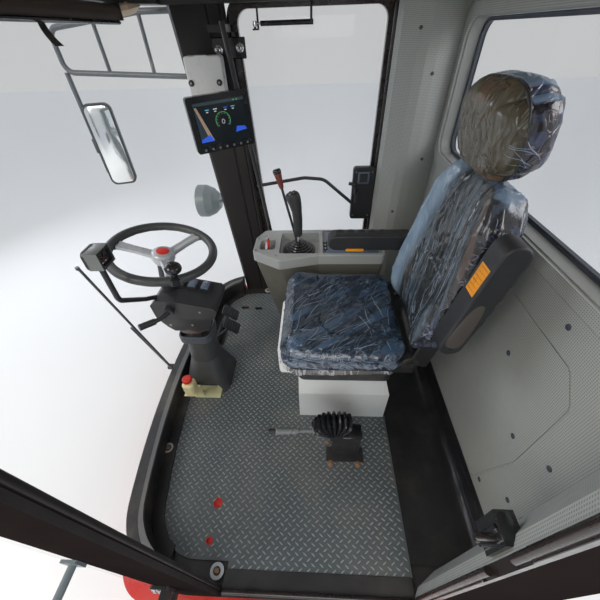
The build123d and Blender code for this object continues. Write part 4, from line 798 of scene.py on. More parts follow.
def make_armrests():
    """Finger ridges along the outer edge of each armrest, a soft panel on its side and ribs on its orange block."""
    for side, s, up in (("right", -1, 0), ("left", 1, 100.5)):
        place = Matrix.Translation((ARM_X, 0, ARM_Z)) @ Matrix.Rotation(-math.radians(up), 4, "Y")
        parts = Build()

        def on_arm(x, y, z):
            """A point given along an armrest, outwards and above it."""
            return place @ Vector((x, s * y, z))

        def block(centre, size, look, ease):
            parts.block(on_arm(*centre), size, look, ease, place.to_3x3())

        for i in range(5):
            block((0.105 + 0.047 * i, ARM_Y + 0.014, 0.036), (0.036, 0.026, 0.014), 0, 0.006)
        block((0.165, ARM_Y, 0.035), (0.3, 0.052, 0.006), 0, 0.003)
        for i in range(6):
            block((0.193 + 0.0132 * i, ARM_Y, -0.0368), (0.004, 0.038, 0.003), 1, 0.001)
        parts.swept([on_arm(0.012 + 0.3 * step_up(t, 0.0, 0.5) - 0.3 * step_up(t, 0.5, 1.0), ARM_Y - 0.0315,
                            0.024 * math.cos(2 * math.pi * t)) for t in (j / 40 for j in range(40))],
                    0.0018, 6, closed=True)
        mid, face = 0.083, ARM_Y + 0.0312
        loop = []
        for a in turns(48):
            c, d = squared(math.cos(a), 0.6), squared(math.sin(a), 0.8)
            loop.append((mid + 0.088 * c, (0.024 - 0.006 * c) * d - 0.002))
        parts.rings([[on_arm(mid + (x - mid) * wide, face + out, z * high) for x, z in loop]
                     for out, wide, high in ((-0.002, 1, 1), (0, 1, 1), (0.0016, 0.9, 0.88))], 2)
        parts.swept([on_arm(x, face, z * 1.06) for x, z in loop], 0.0014, 6, closed=True)
        if side == "right":
            block((0.226, ARM_Y - 0.0345, -0.03), (0.08, 0.01, 0.014), 1, 0.003)
        parts.make(f"armrest_ribs_{side}", ["grip", "orange", "arm_brown"], f"{side}_arm")


# Floor.
def ground(name):
    """A search tree of a CAD node, for casting rays at it."""
    mesh = nodes[name].data
    return BVHTree.FromPolygons([v.co for v in mesh.vertices], [p.vertices for p in mesh.polygons])


def make_tread():
    """Raised lozenges in alternating directions over the whole floor mat, left out where the mat isn't flat."""
    tree = ground("floor_mat")
    low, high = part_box("floor_mat")
    seat_low, seat_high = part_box("seat_base")
    bars = Build()
    pitch_x, pitch_y, half_long, half_wide, rise = 0.0294, 0.0284, 0.01, 0.0026, 0.0015
    shoulder = half_long * 0.45
    corners = [(half_long, 0), (shoulder, half_wide), (-shoulder, half_wide),
               (-half_long, 0), (-shoulder, -half_wide), (shoulder, -half_wide)]
    faces = [[k, (k + 1) % 6, 6 + (k + 1) % 6, 6 + k] for k in range(6)] + [list(range(6, 12))]
    for i in range(int(2 * (high.x - low.x) / pitch_x)):
        a = math.radians(39 if i % 2 else -39)
        ux, uy = math.cos(a), math.sin(a)
        for j in range(i % 2, int(2 * (high.y - low.y) / pitch_y), 2):
            x, y = low.x + (i + 1) * pitch_x / 2, low.y + (j + 1) * pitch_y / 2
            if seat_low.x < x < seat_high.x and abs(y) < seat_high.y:
                continue
            place = [(x + p * ux - q * uy, y + p * uy + q * ux) for p, q in corners]
            hits = (tree.ray_cast(over_floor(*place[k], 0.1), Vector((0, 0, -1)))[0] or Vector() for k in (0, 3, 1, 4))
            if any(abs(hit.z - FLOOR) > 0.0008 for hit in hits):
                continue
            bars.add([over_floor(*p, -0.0002) for p in place]
                     + [over_floor(x + (p - x) * 0.72, y + (q - y) * 0.6, rise) for p, q in place], faces)
    # The bars take the lighter tread look, a painted glint.
    bars.make("mat_tread", ["tread"], smooth=False)


def make_floor_details():
    """Hexagon screws in their washers and the two red marks in the mat."""
    parts = Build()
    for x, y in ((0.654, 0.356), (0.331, 0.763), (0.69, 0.02), (0.654, -0.356), (0.331, -0.763)):
        foot = over_floor(x, y, 0.0045)
        parts.stud(foot, UP, [(0, 0.024), (0.0018, 0.024), (0.0026, 0.022), (0.0026, 0.0135), (0.0012, 0.0125)], 36)
        parts.stud(foot, UP, [(0.001, 0.0128), (0.0022, 0.012)], 28, 1)
        parts.stud(foot, UP, [(0.001, 0.0095), (0.0085, 0.009), (0.01, 0.007)], 6, 2)
    for x, y, r in ((0.378, 0.56, 0.018), (0.381, 0.68, 0.013)):
        parts.stud(over_floor(x, y, -0.0075), UP,
                   [(0, r - 0.0005), (0.0075, r - 0.0005), (0.0075, r - 0.003), (0.0012, r - 0.003)], 32, 3)
    parts.make("floor_screws", ["washer", "plastic", "bolt_brown", "red"])


# Steering wheel and column.
COLUMN_Y = -0.05
WHEEL = tipped(math.radians(11), (0.578, COLUMN_Y, 0.987))
RIM_R, RIM_TUBE = 0.185, 0.0167
SPOKES = (0, 120, 240)
KNOB = 122


def on_wheel(angle, radius, height):
    a = math.radians(angle)
    return WHEEL @ Vector((radius * math.cos(a), radius * math.sin(a), height))


def make_wheel():
    """Rim with a finger grip under it, plated spokes, a dished hub and a spinner knob."""
    turn = WHEEL.to_3x3()
    up = turn @ Vector(UP)
    rim = Build()
    rings = []
    for angle in range(0, 360, 3):
        centre = on_wheel(angle, RIM_R, 0)
        out = (on_wheel(angle, RIM_R + 0.01, 0) - centre).normalized()
        dent = 0.0011 * max(0, math.cos(math.radians(angle * 20)))
        rings.append([centre + out * math.cos(t) * RIM_TUBE
                      + up * math.sin(t) * (RIM_TUBE - (dent if math.sin(t) < 0 else 0)) for t in turns(20)])
    rim.rings(rings + rings[:1], 0, False)
    lug = ((-9, -0.01), (9, -0.01), (7.2, 0.004), (-7.2, 0.004))
    for angle in SPOKES:
        rim.rings([[on_wheel(angle + side, r, h) for side, h in lug] for r in (RIM_R - 0.019, RIM_R - 0.004)])
    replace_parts(rim.make("wheel_rim", ["rim"], "wheel"), "steering_wheel")
    plated = Build()
    for angle in SPOKES:
        axes = turn @ Matrix.Rotation(math.radians(angle), 3, "Z")
        rings = []
        for r, half, h in ((0.022, 0.024, -0.02), (0.05, 0.0185, -0.016), (0.1, 0.0165, -0.009),
                           (0.15, 0.0185, -0.003), (0.172, 0.023, 0.0)):
            section = ((-half, -0.01), (half, -0.01), (half, 0.002), (half - 0.004, 0.0045), (half * 0.35, 0.0035),
                       (0, 0.0015), (-half * 0.35, 0.0035), (-half + 0.004, 0.0045), (-half, 0.002))
            rings.append([on_wheel(angle, r, h) + axes @ Vector((0, y, z)) for y, z in section])
        plated.rings(rings)
    hub = WHEEL.translation
    plated.stud(hub, up, [(-0.046, 0.036), (-0.03, 0.043), (-0.01, 0.043), (-0.004, 0.039), (0, 0.034), (0.001, 0)], 44)
    plated.stud(hub, up, [(-0.002, 0.024), (0.002, 0.0235), (0.0035, 0.019), (0.004, 0)], 40, 1)
    plated.make("wheel_spokes", ["spoke", "red_plastic"], "wheel")
    knob = Build()
    foot = on_wheel(KNOB, RIM_R, 0)
    ball = [(0.052 - 0.02 * math.cos(t), 0.0285 * math.sin(t) ** 0.9)
            for t in (math.pi * k / 16 for k in range(3, 16))]
    knob.turned(foot, up, [(0.0, 0.009), (0.032, 0.0085), (0.034, 0.014), *ball, (0.072, 0)], 36)
    knob.stud(foot, up, [(0.0715, 0.01), (0.0728, 0.0088)])
    axes = turn @ Matrix.Rotation(math.radians(KNOB), 3, "Z")
    knob.block(foot, (0.037, 0.034, 0.036), 0, 0.006, axes)
    for s in (-1, 1):
        knob.bolt(foot + axes @ Vector((0, s * 0.017, 0)), axes @ Vector((0, s, 0)), 0.0045, 0.003, 1, False)
    knob.make("spinner_knob", ["plastic_gloss", "silver"], "wheel")


def make_column():
    """Rocker switches and screws on the head, the pleated collar and the sleeve round the neck under it."""
    parts, collar, sleeve = Build(), Build(), Build()
    deck = Vector((-11.8, 0, 52)).normalized()
    axes = Matrix((Vector((52, 0, 11.8)).normalized(), Vector(LEFT), deck)).transposed()
    for i in range(3):
        place = over_floor(0.47 + 0.052 * i, COLUMN_Y - 0.04, 0.5865 + 0.0118 * i) + deck * 0.003
        parts.block(place, (0.03, 0.05, 0.008), 1, 0.003, axes)
        parts.block(place + axes @ Vector((0, 0.012, 0.0045)), (0.026, 0.022, 0.004), 1, 0.0015, axes)
        parts.block(place + axes @ Vector((0, -0.017, 0.0046)), (0.01, 0.004, 0.002), 2 if i == 1 else 3, 0.0008, axes)
    for s in (-1, 1):
        for x, h in ((0.47, 0.545), (0.6, 0.56), (0.52, 0.47), (0.615, 0.47)):
            parts.stud(over_floor(x, COLUMN_Y + s * 0.0845, h), (0, s, 0), [(0, 0.0055), (0.0012, 0.005)], 16)
    parts.make("column_fittings", ["steel", "switch_blue", "red_plastic", "white_plastic", "collar_rubber"], "column")
    neck_x = 0.549
    for k in range(4):
        loop = soft_square(56, 0.42, (neck_x, COLUMN_Y), (0.0705, 0.0675))
        collar.swept([over_floor(*p, 0.334 + 0.011 * k) for p in loop], 0.0052, 8, closed=True)
    collar.make("column_collar", ["collar_rubber"])
    rings = []
    for t in (k / 14 for k in range(15)):
        wide = 0.066 - 0.012 * t * t + 0.0012 * math.sin(t * 26)
        loop = soft_square(48, 0.7, (neck_x - 0.01 * t, COLUMN_Y), (wide, wide - 0.003))
        rings.append([over_floor(*p, 0.391 + 0.088 * t) for p in loop])
    sleeve.rings(rings, 0, False)
    sleeve.make("neck_sleeve", ["neck"])
    make_dials()


def make_dials():
    """The instrument box's pale edge, two dials with their marks and needles, and a row of keys."""
    face = Build()
    low, high = Vector((0.622, 0.1445, 1.0815)), Vector((0.668, 0.2095, 1.1385))
    mid, size, edge = (low + high) / 2, high - low, 0.0016
    for z in (high.z, low.z):
        face.block((mid.x, mid.y, z), (size.x, size.y, edge), 3, 0.0006)
    for y in (low.y, high.y):
        face.block((mid.x, y, mid.z), (size.x, edge, size.z), 3, 0.0006)
    x0, z0, r, mark = 0.6326, 1.116, 0.0092, 0.0062
    for y in (0.188, 0.166):
        face.stud((x0, y, z0), (-1, 0, 0), [(0, r), (0.003, r), (0.003, r - 0.0014), (0.001, r - 0.0014)], 32)
        for k in range(7):
            a = math.radians(210 - 40 * k)
            face.block((x0 - 0.0015, y + mark * math.cos(a), z0 + mark * math.sin(a)), (0.0008, 0.0008, 0.0008), 1)
        face.block((x0 - 0.0018, y + 0.002, z0 + 0.001), (0.0008, 0.005, 0.0008), 2)
    for k in range(4):
        face.block((x0 - 0.001, 0.165 + 0.008 * k, 1.096), (0.002, 0.005, 0.004), 1 if k % 2 else 2, 0.0008)
    face.make("instrument_dials", ["plastic_gloss", "white_plastic", "red_plastic", "box_grey"], "column")


# Console.
GATE = Vector((0.078, -0.405, 0))
TOP_Z = FLOOR + 0.604


def by_gate(dx, dy, height):
    return over_floor(GATE.x + dx, GATE.y + dy, height)


def make_console():
    """The pleated boot, the gear and drive levers, and the drive lever's grip with its buttons."""
    boot = Build()
    profile = [(0.001, 0.08)]
    for i, r in enumerate((0.079, 0.069, 0.058, 0.047, 0.036, 0.026)):
        z = 0.006 + 0.0085 * i
        profile += [(z, r), (z + 0.0035, r + 0.0015), (z + 0.007, r - 0.001), (z + 0.0082, r - 0.0065)]
    boot.turned(by_gate(0, 0, 0.566), UP, [*profile, (0.058, 0.014), (0.06, 0.0)], 48)
    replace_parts(boot.make("lever_boot", ["plastic_gloss"]), "lever_gate")
    levers = Build()
    foot = 0.616
    gear_foot, gear_top = by_gate(0.012, -0.022, foot), over_floor(0.156, -0.478, 0.866)
    way = (gear_top - gear_foot).normalized()
    levers.swept([gear_foot, gear_top], 0.0062, 16)
    for look, profile in ((1, [(-0.01, 0), (-0.01, 0.0095), (0.0, 0.0115), (0.03, 0.0145), (0.056, 0.0178)]),
                          (2, [(0.055, 0.0175), (0.06, 0.0192), (0.07, 0.019), (0.0765, 0.015), (0.0765, 0)])):
        levers.turned(gear_top, way, profile, 28, look)
    side = way.orthogonal().normalized()
    for t in turns(6):
        d = side * math.cos(t) + way.cross(side) * math.sin(t)
        levers.swept([gear_top + way * 0.005 + d * 0.0117, gear_top + way * 0.054 + d * 0.0172], 0.0014, 6, 1)
    drive_foot = by_gate(0.002, 0.018, foot)
    levers.swept([drive_foot, by_gate(0.002, 0.006, 0.672)], 0.0065, 16, 3)
    levers.turned(drive_foot, UP,
                  [(-0.002, 0.012), (0.006, 0.0105), (0.01, 0.0085), (0.016, 0.0082), (0.018, 0.0066)], 20, 2)
    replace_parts(levers.make("lever_rods", ["black_steel", "knob_wood", "plastic_gloss", "chrome"]), "control_levers")
    grip = Build()
    # Rows of height, centre and half sizes.
    rows = ((0.655, 0.002, 0.006, 0.0165, 0.015), (0.664, 0.002, 0.006, 0.0205, 0.018),
            (0.7, 0.002, 0.0045, 0.0215, 0.0185), (0.74, 0.002, 0.002, 0.0225, 0.0195),
            (0.775, 0.005, -0.001, 0.024, 0.02), (0.805, 0.01, -0.004, 0.0275, 0.022),
            (0.83, 0.017, -0.007, 0.031, 0.024), (0.848, 0.023, -0.008, 0.0315, 0.024),
            (0.858, 0.027, -0.009, 0.027, 0.0205), (0.862, 0.029, -0.009, 0.018, 0.013))
    rings = []
    for h, dx, dy, rx, ry in rows:
        lean = 0.3 * step_up(h, 0.76, 0.85)
        finger = 0.05 * (0.5 + 0.5 * math.cos((h - 0.69) / 0.022 * 2 * math.pi)) if h < 0.78 else 0
        rings.append([by_gate(dx + rx * c * (1 - finger * bell(c + 1, 0.5)), dy + ry * s, h - lean * rx * c)
                      for c, s in ((math.cos(a), math.sin(a)) for a in turns(32))])
    grip.rings(rings)
    for dx, dy, look in ((0.016, 0.008, 1), (0.016, -0.018, 1), (0.034, 0.006, 2), (0.034, -0.02, 1)):
        grip.stud(by_gate(dx, dy - 0.002, 0.8605 - 0.3 * (dx - 0.029)), (0.3, -0.1, 0.95),
                  [(-0.003, 0.0058), (0.0016, 0.0054), (0.0024, 0.0044)], 16, look)
    grip.make("drive_grip", ["grip", "plastic_gloss", "switch_blue"])
    make_console_trim()


def make_console_trim():
    """The console's divider, blue deck, knobs and screws, and a key wallet with its ring in the front tray."""
    trim = Build()
    trim.block((-0.03, -0.415, TOP_Z - 0.018), (0.009, 0.19, 0.034), 0, 0.003)
    trim.block((-0.18, -0.42, TOP_Z + 0.0004), (0.25, 0.2, 0.0026), 1, 0.001)
    for y in (-0.352, -0.382, -0.412):
        trim.stud((-0.052, y, TOP_Z + 0.001), UP, [(0, 0.01), (0.006, 0.0095), (0.0075, 0.008)], 24, 2)
        trim.block((-0.052, y, TOP_Z + 0.009), (0.0025, 0.014, 0.0012), 3, 0.0004)
    for x, y in ((0.287, -0.346), (0.287, -0.46), (0.184, -0.3), (-0.005, -0.54)):
        trim.stud((x, y, TOP_Z), UP, [(-0.001, 0.006), (0.0014, 0.0055)], 18, 4)
    trim.make("console_trim", ["shell", "deck", "plastic", "white_plastic", "steel"])
    wallet = Build()
    base = Vector((0.234, -0.392, TOP_Z - 0.036))
    lean = Matrix.Rotation(math.radians(-14), 3, "Y") @ Matrix.Rotation(math.radians(12), 3, "Z")
    wallet.block(base + Vector((0, 0, 0.036)), (0.008, 0.05, 0.066), 0, 0.003, lean)
    wallet.block(base + Vector((-0.0045, 0, 0.04)), (0.002, 0.034, 0.04), 1, 0.0008, lean)
    wallet.block(base + Vector((0.008, 0.004, 0.026)), (0.006, 0.044, 0.048), 2, 0.002, lean)
    ring = [base + Vector((0.002 + 0.01 * math.cos(a), -0.012 + 0.01 * math.sin(a), 0.074)) for a in turns(24)]
    wallet.swept(ring, 0.0011, 8, 3, closed=True)
    wallet.make("key_wallet", ["red_plastic", "switch_blue", "white_plastic", "chrome"])


# Display and relay box.
SCREEN = (Matrix.Translation(over_floor(0.4, -0.54, 1.12))
          @ Matrix.Rotation(math.radians(30), 4, "Z") @ Matrix.Rotation(math.radians(2.6), 4, "Y"))
SCREEN_W, SCREEN_H, SCREEN_D = 0.262, 0.208, 0.032


def make_display():
    """A made-up driving screen: a dial round a figure, a slanting band, blocks and short bars, over a row of keys."""
    parts = Build()
    w, h = SCREEN_W - 0.04, SCREEN_H - 0.046
    left, bottom, front = SCREEN_W / 2 - 0.02, -SCREEN_H / 2 + 0.026, SCREEN_D / 2
    y = front - 0.0024

    def area(points, look, at=y):
        parts.add([SCREEN @ Vector((x, at, z)) for x, z in points], [list(range(len(points)))[::-1]], look)

    def tile(u0, u1, v0, v1, look, lift=0.0):
        """A thin tile from the left and the bottom as the driver sees it."""
        x0, x1, z0, z1 = left - u0, left - u1, bottom + v0, bottom + v1
        area(((x0, z0), (x1, z0), (x1, z1), (x0, z1)), look, front - 0.0028 + lift)

    def arc(degrees, r, centre=(-0.006, 0.008)):
        a = math.radians(degrees)
        return SCREEN @ Vector((centre[0] - r * math.cos(a), y, centre[1] + r * math.sin(a)))

    tile(0, w, 0, h, 0)
    tile(0.004, w - 0.004, h - 0.014, h - 0.004, 1, 0.0002)
    parts.swept([arc(220 - 260 * k / 40, 0.031) for k in range(41)], 0.0009, 6, 7)
    for k in range(11):
        parts.swept([arc(220 - 26 * k, r) for r in (0.024, 0.028)], 0.0005, 4, 3)
    ring = [SCREEN @ Vector((-0.006 - 0.006 * math.cos(a), y, 0.004 + 0.008 * math.sin(a))) for a in turns(24)]
    parts.swept(ring, 0.0008, 6, 3, closed=True)
    area(((0.048, -0.06), (0.066, -0.06), (0.104, 0.066), (0.094, 0.066)), 10)
    area(((0.068, -0.06), (0.104, -0.06), (0.104, 0.06)), 5)
    area(((0.05, -0.062), (0.104, -0.062), (0.102, -0.05), (0.062, -0.036)), 6, y + 0.0002)
    area(((-0.104, -0.04), (-0.052, -0.044), (-0.06, -0.022), (-0.096, -0.026)), 6, y + 0.0002)
    for u, look in ((0.05, 2), (0.084, 3), (0.128, 6), (0.16, 2)):
        tile(u, u + 0.016, h - 0.033, h - 0.03, look, 0.0003)
        tile(u + 0.003, u + 0.012, h - 0.041, h - 0.038, 3, 0.0003)
    for u in (w - 0.05, w - 0.036):
        tile(u, u + 0.006, h - 0.012, h - 0.008, 7, 0.0004)
    for k in range(7):
        spot = SCREEN @ Vector((SCREEN_W / 2 - 0.035 - 0.032 * k, front, -SCREEN_H / 2 + 0.012))
        parts.stud(spot, SCREEN.to_3x3() @ Vector(LEFT), [(-0.001, 0.0052), (0.0008, 0.0048)], 18, 9)
    looks = [f"screen_{key}" for key in SCREEN_COLOURS]
    parts.make("screen_picture", [*looks[:9], "key_grey", looks[9]])


def make_relay_details():
    parts = Build()
    inner = -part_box("relay_case")[1].y
    for x in (0.42, 0.545):
        parts.stud(over_floor(x, -inner, 1.242), LEFT, [(-0.001, 0.012), (0.004, 0.012), (0.007, 0.009)])
        parts.stud(over_floor(x, -inner + 0.0055, 1.242), LEFT, [(0, 0.005), (0.004, 0.0045)], 6, 2)
    parts.block(over_floor(0.484, -inner - 0.006, 1.3345), (0.052, 0.02, 0.006), 1, 0.002)
    parts.block(over_floor(0.484, -inner - 0.004, 1.338), (0.04, 0.01, 0.005), 0, 0.002)
    parts.make("relay_screws", ["plastic", "white_plastic", "steel"])


# Doors.
HINGE_X, HINGE_Y = 0.4, 0.868
HINGE_HEIGHTS = 0.19, 1.352
LOCK_HEIGHT = 0.69


def door_place(side):
    """Turns a point given on the closed right door to the door as it stands."""
    if side == "right":
        return Matrix.Identity(4)
    hinge = Matrix.Translation((HINGE_X, HINGE_Y, 0))
    return hinge @ Matrix.Rotation(math.radians(-90), 4, "Z") @ hinge.inverted() @ Matrix.Diagonal((1, -1, 1, 1))


def make_door_details():
    """The lock's plate and latch with its screws on each door, the pull bar's end, and the hinges' caps and bolts."""
    z, x0 = FLOOR + LOCK_HEIGHT, -0.33
    for side in ("right", "left"):
        parts = Build()
        parts.block((x0 + 0.062, -0.7995, z + 0.095), (0.062, 0.007, 0.066), 1, 0.003)
        parts.block((x0 + 0.062, -0.796, z + 0.095), (0.044, 0.006, 0.046), 0, 0.003)
        parts.block((x0 + 0.092, -0.796, z - 0.01), (0.022, 0.02, 0.074), 0, 0.005)
        parts.block((x0 + 0.106, -0.788, z + 0.03), (0.012, 0.026, 0.05), 0, 0.004)
        for dz in (0.125, -0.125):
            for dx in (0.016, 0.104):
                parts.stud((x0 + dx, -0.8012, z + dz), LEFT, [(0, 0.006), (0.002, 0.0052)], 16, 2)
        parts.stud(over_floor(0.314, -0.812, 0.744), LEFT, [(-0.001, 0.015), (0.006, 0.015), (0.009, 0.011)], 24, 2)
        for height in HINGE_HEIGHTS:
            parts.stud(over_floor(HINGE_X, -HINGE_Y, height + 0.0415), UP,
                       [(-0.001, 0.011), (0.004, 0.01), (0.006, 0.006)], 20, 2)
        parts.move(door_place(side), side == "left")
        parts.make(f"door_details_{side}", ["plastic", "deck", "steel"], f"{side}_door")
    leaves = Build()
    for s in (-1, 1):
        for height in HINGE_HEIGHTS:
            for dz in (-0.028, 0.028):
                for dx in (0.022, 0.046):
                    leaves.bolt(over_floor(HINGE_X + dx, s * 0.8345, height + dz), (0, s, 0), 0.0065, 0.004)
    for x, h in ((0.426, 1.348), (0.331, 1.354)):
        leaves.stud(over_floor(x, -0.7925, h), LEFT,
                    [(0, 0.017), (0.002, 0.017), (0.003, 0.013), (0.009, 0.012), (0.0115, 0.008)], 28)
        leaves.stud(over_floor(x, -0.7815, h), LEFT, [(0, 0.005), (0.001, 0.0045)], 6, 1)
    leaves.block(over_floor(0.3785, -0.795, 1.353), (0.145, 0.006, 0.074), 1, 0.003)
    leaves.make("hinge_bolts", ["silver", "plastic_gloss"])


def recoloured(node, *rules):
    """Gives a node's faces another look where a rule on their centre and direction holds. The first one counts."""
    mesh, place = nodes[node].data, nodes[node].matrix_world
    first = len(mesh.materials)
    for look, _ in rules:
        mesh.materials.append(M[look])
    for face in mesh.polygons:
        c, n = place @ face.center, (place.to_3x3() @ face.normal).normalized()
        held = [k for k, (_, rule) in enumerate(rules) if rule(c, n)]
        if held:
            face.material_index = first + held[0]


def make_seals():
    """The hollow rubber seals that both doors shut on, the dark jambs beside them and the left striker's cover."""
    seals = Build()
    lock = FLOOR + LOCK_HEIGHT
    for s in (-1, 1):
        y = s * 0.815
        for low, high in ((0.206, lock - 0.056), (lock + 0.056, 1.692)):
            mid = (low + high) / 2
            seals.swept([(-0.3285, y, z) for z in (low, mid, high)], 0.0078, 14)
            seals.block((-0.3325, s * 0.816, mid), (0.004, 0.021, high - low - 0.09), 0, 0.001)
        seals.swept([(x, y, 0.2115) for x in (-0.33, 0.0, 0.3)], 0.0078, 14)
    seals.make("door_seals", ["seal"])
    recoloured("rear_quarters",
               ("plastic_gloss", lambda c, n: c.x > -0.3665 and 0.741 < c.y < 0.8 and abs(c.z - lock) < 0.0475),
               ("seal", lambda c, n: (n.x > 0.7 and abs(c.y) > 0.803) or (abs(c.y) > 0.806 and c.x > -0.36)))
    recoloured("front_pillars", ("shell_black", lambda c, n: n.y * c.y > 0.4))
    catch = Build()
    low, high = over_floor(-0.366, 0.742, 0.644), over_floor(-0.3275, 0.79, 0.736)
    catch.block((low + high) / 2, high - low, 0, 0.003)
    catch.block((-0.3275, 0.768, lock), (0.01, 0.014, 0.078), 0, 0.004)
    catch.stud((-0.33, 0.778, lock + 0.008), FRONT, [(0, 0.0085), (0.032, 0.0085), (0.035, 0.0065)], 20, 1)
    catch.make("striker_cover", ["plastic_gloss", "seal"])


def make_header():
    """The beige cover in the front right corner of the roof, and the blind's pull tab and bottom bar."""
    low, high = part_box("roller_blind")
    parts = Build()
    parts.block((high.x - 0.03, -0.655, high.z - 0.004), (0.07, 0.15, 0.05), 0, 0.018,
                Matrix.Rotation(math.radians(-8), 3, "X"))
    parts.block(((low.x + high.x) / 2, 0, low.z - 0.001), (0.034, high.y * 2 - 0.01, 0.012), 1, 0.004)
    rings = []
    for t in (k / 8 for k in range(9)):
        mid = Vector((low.x + 0.016 - 0.01 * t * t, -0.13 - 0.022 * t * t, low.z - 0.004 - 0.052 * t))
        w = 0.012 + 0.006 * t
        rings.append([mid + Vector((x, y, 0)) for x, y in ((0, -w), (0.0022, -w), (0.0022, w), (0, w))])
    parts.rings(rings, 1)
    parts.make("header_cover", ["beige", "plastic_gloss"])


# Walls and windows.
def rounded_loop(half, z0, z1, r, x, steps=8):
    """Points round a rectangle with rounded corners, standing across the cab."""
    y, low, high = half - r, z0 + r, z1 - r
    return [Vector((x, cy + r * math.cos(a), cz + r * math.sin(a)))
            for cy, cz, start in ((y, high, 0), (-y, high, 90), (-y, low, 180), (y, low, 270))
            for a in (math.radians(start + 90 * k / steps) for k in range(steps + 1))]


def make_wall_details():
    """The rear window's trim, and the clips that hold the wall linings."""
    low, high, half, corner = FLOOR + 0.945, FLOOR + 1.428, 0.705, 0.07

    def round_window(inset, x):
        return rounded_loop(half - inset, low + inset, high - inset, corner - inset, x)

    def clips(parts, tree, spots, profile, sides, way=None):
        """Clips where rays meet a lining. A spot is a ray's start and way, a clip faces back along it."""
        for start, ray in spots:
            place, normal = tree.ray_cast(start, Vector(ray))[:2]
            if place is not None:
                parts.stud(place, way or (normal if normal.dot(Vector(ray)) < 0 else -normal), profile, sides)

    parts, buttons = Build(), Build()
    parts.swept(round_window(0, -0.6575), 0.0055, 8, closed=True)
    parts.swept(round_window(0.006, -0.648), 0.0035, 8, closed=True)
    for x0, x1, in0, in1, look in ((-0.66, -0.602, 0.0, 0.004, 1), (-0.66, -0.648, 0.0035, 0.016, 0),
                                   (-0.6672, -0.6662, -0.019, 0.012, 0)):
        section = ((x0, in0), (x1, in0), (x1, in1), (x0, in1), (x0, in0))
        parts.rings([round_window(inset, x) for x, inset in section], look, False)
    spots = ((0.6, 0.3), (0.6, 0.55), (0.3, 0.64), (0.66, 0.77), (0.1, 0.76), (-0.3, 0.64), (-0.6, 0.55),
             (-0.6, 0.3), (0.48, 0.471), (0.4, 0.86), (-0.4, 0.86), (0.5, 0.17), (-0.5, 0.17))
    clips(parts, ground("rear_trim"), [(over_floor(0.2, y, h), (-1, 0, 0)) for y, h in spots],
          [(-0.001, 0.0085), (0.0018, 0.0082), (0.003, 0.0062), (0.0024, 0.003)], 20, FRONT)
    parts.make("wall_clips", ["clip", "surround"])
    for spots, profile, sides in (
            (((-0.5, 0.4), (-0.54, 0.9), (-0.5, 1.25), (-0.42, 1.4), (-0.44, 0.62)),
             [(-0.001, 0.0075), (0.0018, 0.0072), (0.0028, 0.0052)], 18),
            (((-0.32, 0.832), (-0.324, 0.604), (-0.318, 0.394), (-0.32, 0.19)),
             [(-0.001, 0.0095), (0.0022, 0.009), (0.0034, 0.0062)], 20)):
        rays = [(over_floor(x, 0.2 * s, h), (0, s, 0)) for s in (-1, 1) for x, h in spots]
        clips(buttons, ground("rear_quarters"), rays, profile, sides)
    buttons.make("post_clips", ["clip"])


def make_kerb_band():
    """The grey edging pressed onto the kerb's top."""
    tree = ground("front_kerb")
    band, rings = Build(), []
    base, top = 0.088, 0.1
    for k in range(121):
        a = math.radians(-92 + 184 * k / 120)
        way = Vector((math.cos(a), math.sin(a), 0))
        hit = tree.ray_cast(over_floor(0.3, 0, base), way)[0]
        if hit is not None and hit.x >= 0.34:
            rings.append([over_floor(*(hit + way * out)[:2], h) for out, h in (
                (-0.0015, base), (-0.0015, top + 0.0018), (0.02, top + 0.0022),
                (0.022, top - 0.001), (0.004, top - 0.002), (0.002, base))])
    band.rings(rings)
    band.make("kerb_edging", ["kerb_band"])


# Parking brake.
def make_brake():
    """The pleated rubber fan, its fittings and the bare lever with its thicker sleeve."""
    pivot = over_floor(-0.087, 0.357, 0.222)
    parts = Build()
    half, inner, corner = 0.039, 0.02, 0.02

    def fan(r, degrees, y):
        a = math.radians(degrees)
        return pivot + Vector((r * math.cos(a), y, r * math.sin(a)))

    for i in range(9):
        rings = []
        for turn, outer, pull in ((0, 0.082, 0.008), (3.2, 0.092, 0.002), (6.6, 0.096, 0), (10.0, 0.092, 0.002),
                                  (13.2, 0.082, 0.008)):
            wide, degrees = half - pull, 4 + 14.6 * i + turn
            side = [(inner, wide)] + [(outer - corner * a, wide - corner * b) for a, b in ((1, 0), (0.3, 0.3), (0, 1))]
            rings.append([fan(r, degrees, -y) for r, y in side] + [fan(r, degrees, y) for r, y in side[::-1]])
        parts.rings(rings)
    parts.stud(pivot + Vector((0, -0.035, 0)), LEFT, [(0, 0.026), (0.07, 0.026)], 32)
    parts.block(pivot + Vector((-0.05, 0, -0.012)), (0.105, 0.062, 0.022), 0, 0.005)
    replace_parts(parts.make("brake_bellows", ["plastic_gloss"]), "brake_gaiter")
    lever = Build()
    tip = over_floor(0.167, 0.404, 0.296)
    way = (tip - pivot).normalized()
    start = pivot + way * 0.09
    n = (tip - start).length
    lever.stud(start, way, [(0, 0.0125), (0.008, 0.0125), (0.01, 0.0085), (n - 0.118, 0.0085), (n - 0.114, 0.0125),
                            (n - 0.03, 0.0128), (n - 0.026, 0.0095), (n - 0.01, 0.008), (n, 0.005)])
    for x in (-0.19, -0.075):
        lever.bolt(over_floor(x, 0.4, 0.006), UP, 0.0075, 0.005, 1)
    lever.stud(pivot + Vector((0.035, 0.04, -0.014)), LEFT, [(0, 0.01), (0.006, 0.009)], 6, 1)
    lever.make("brake_lever", ["sleeve", "bolt_brown"])


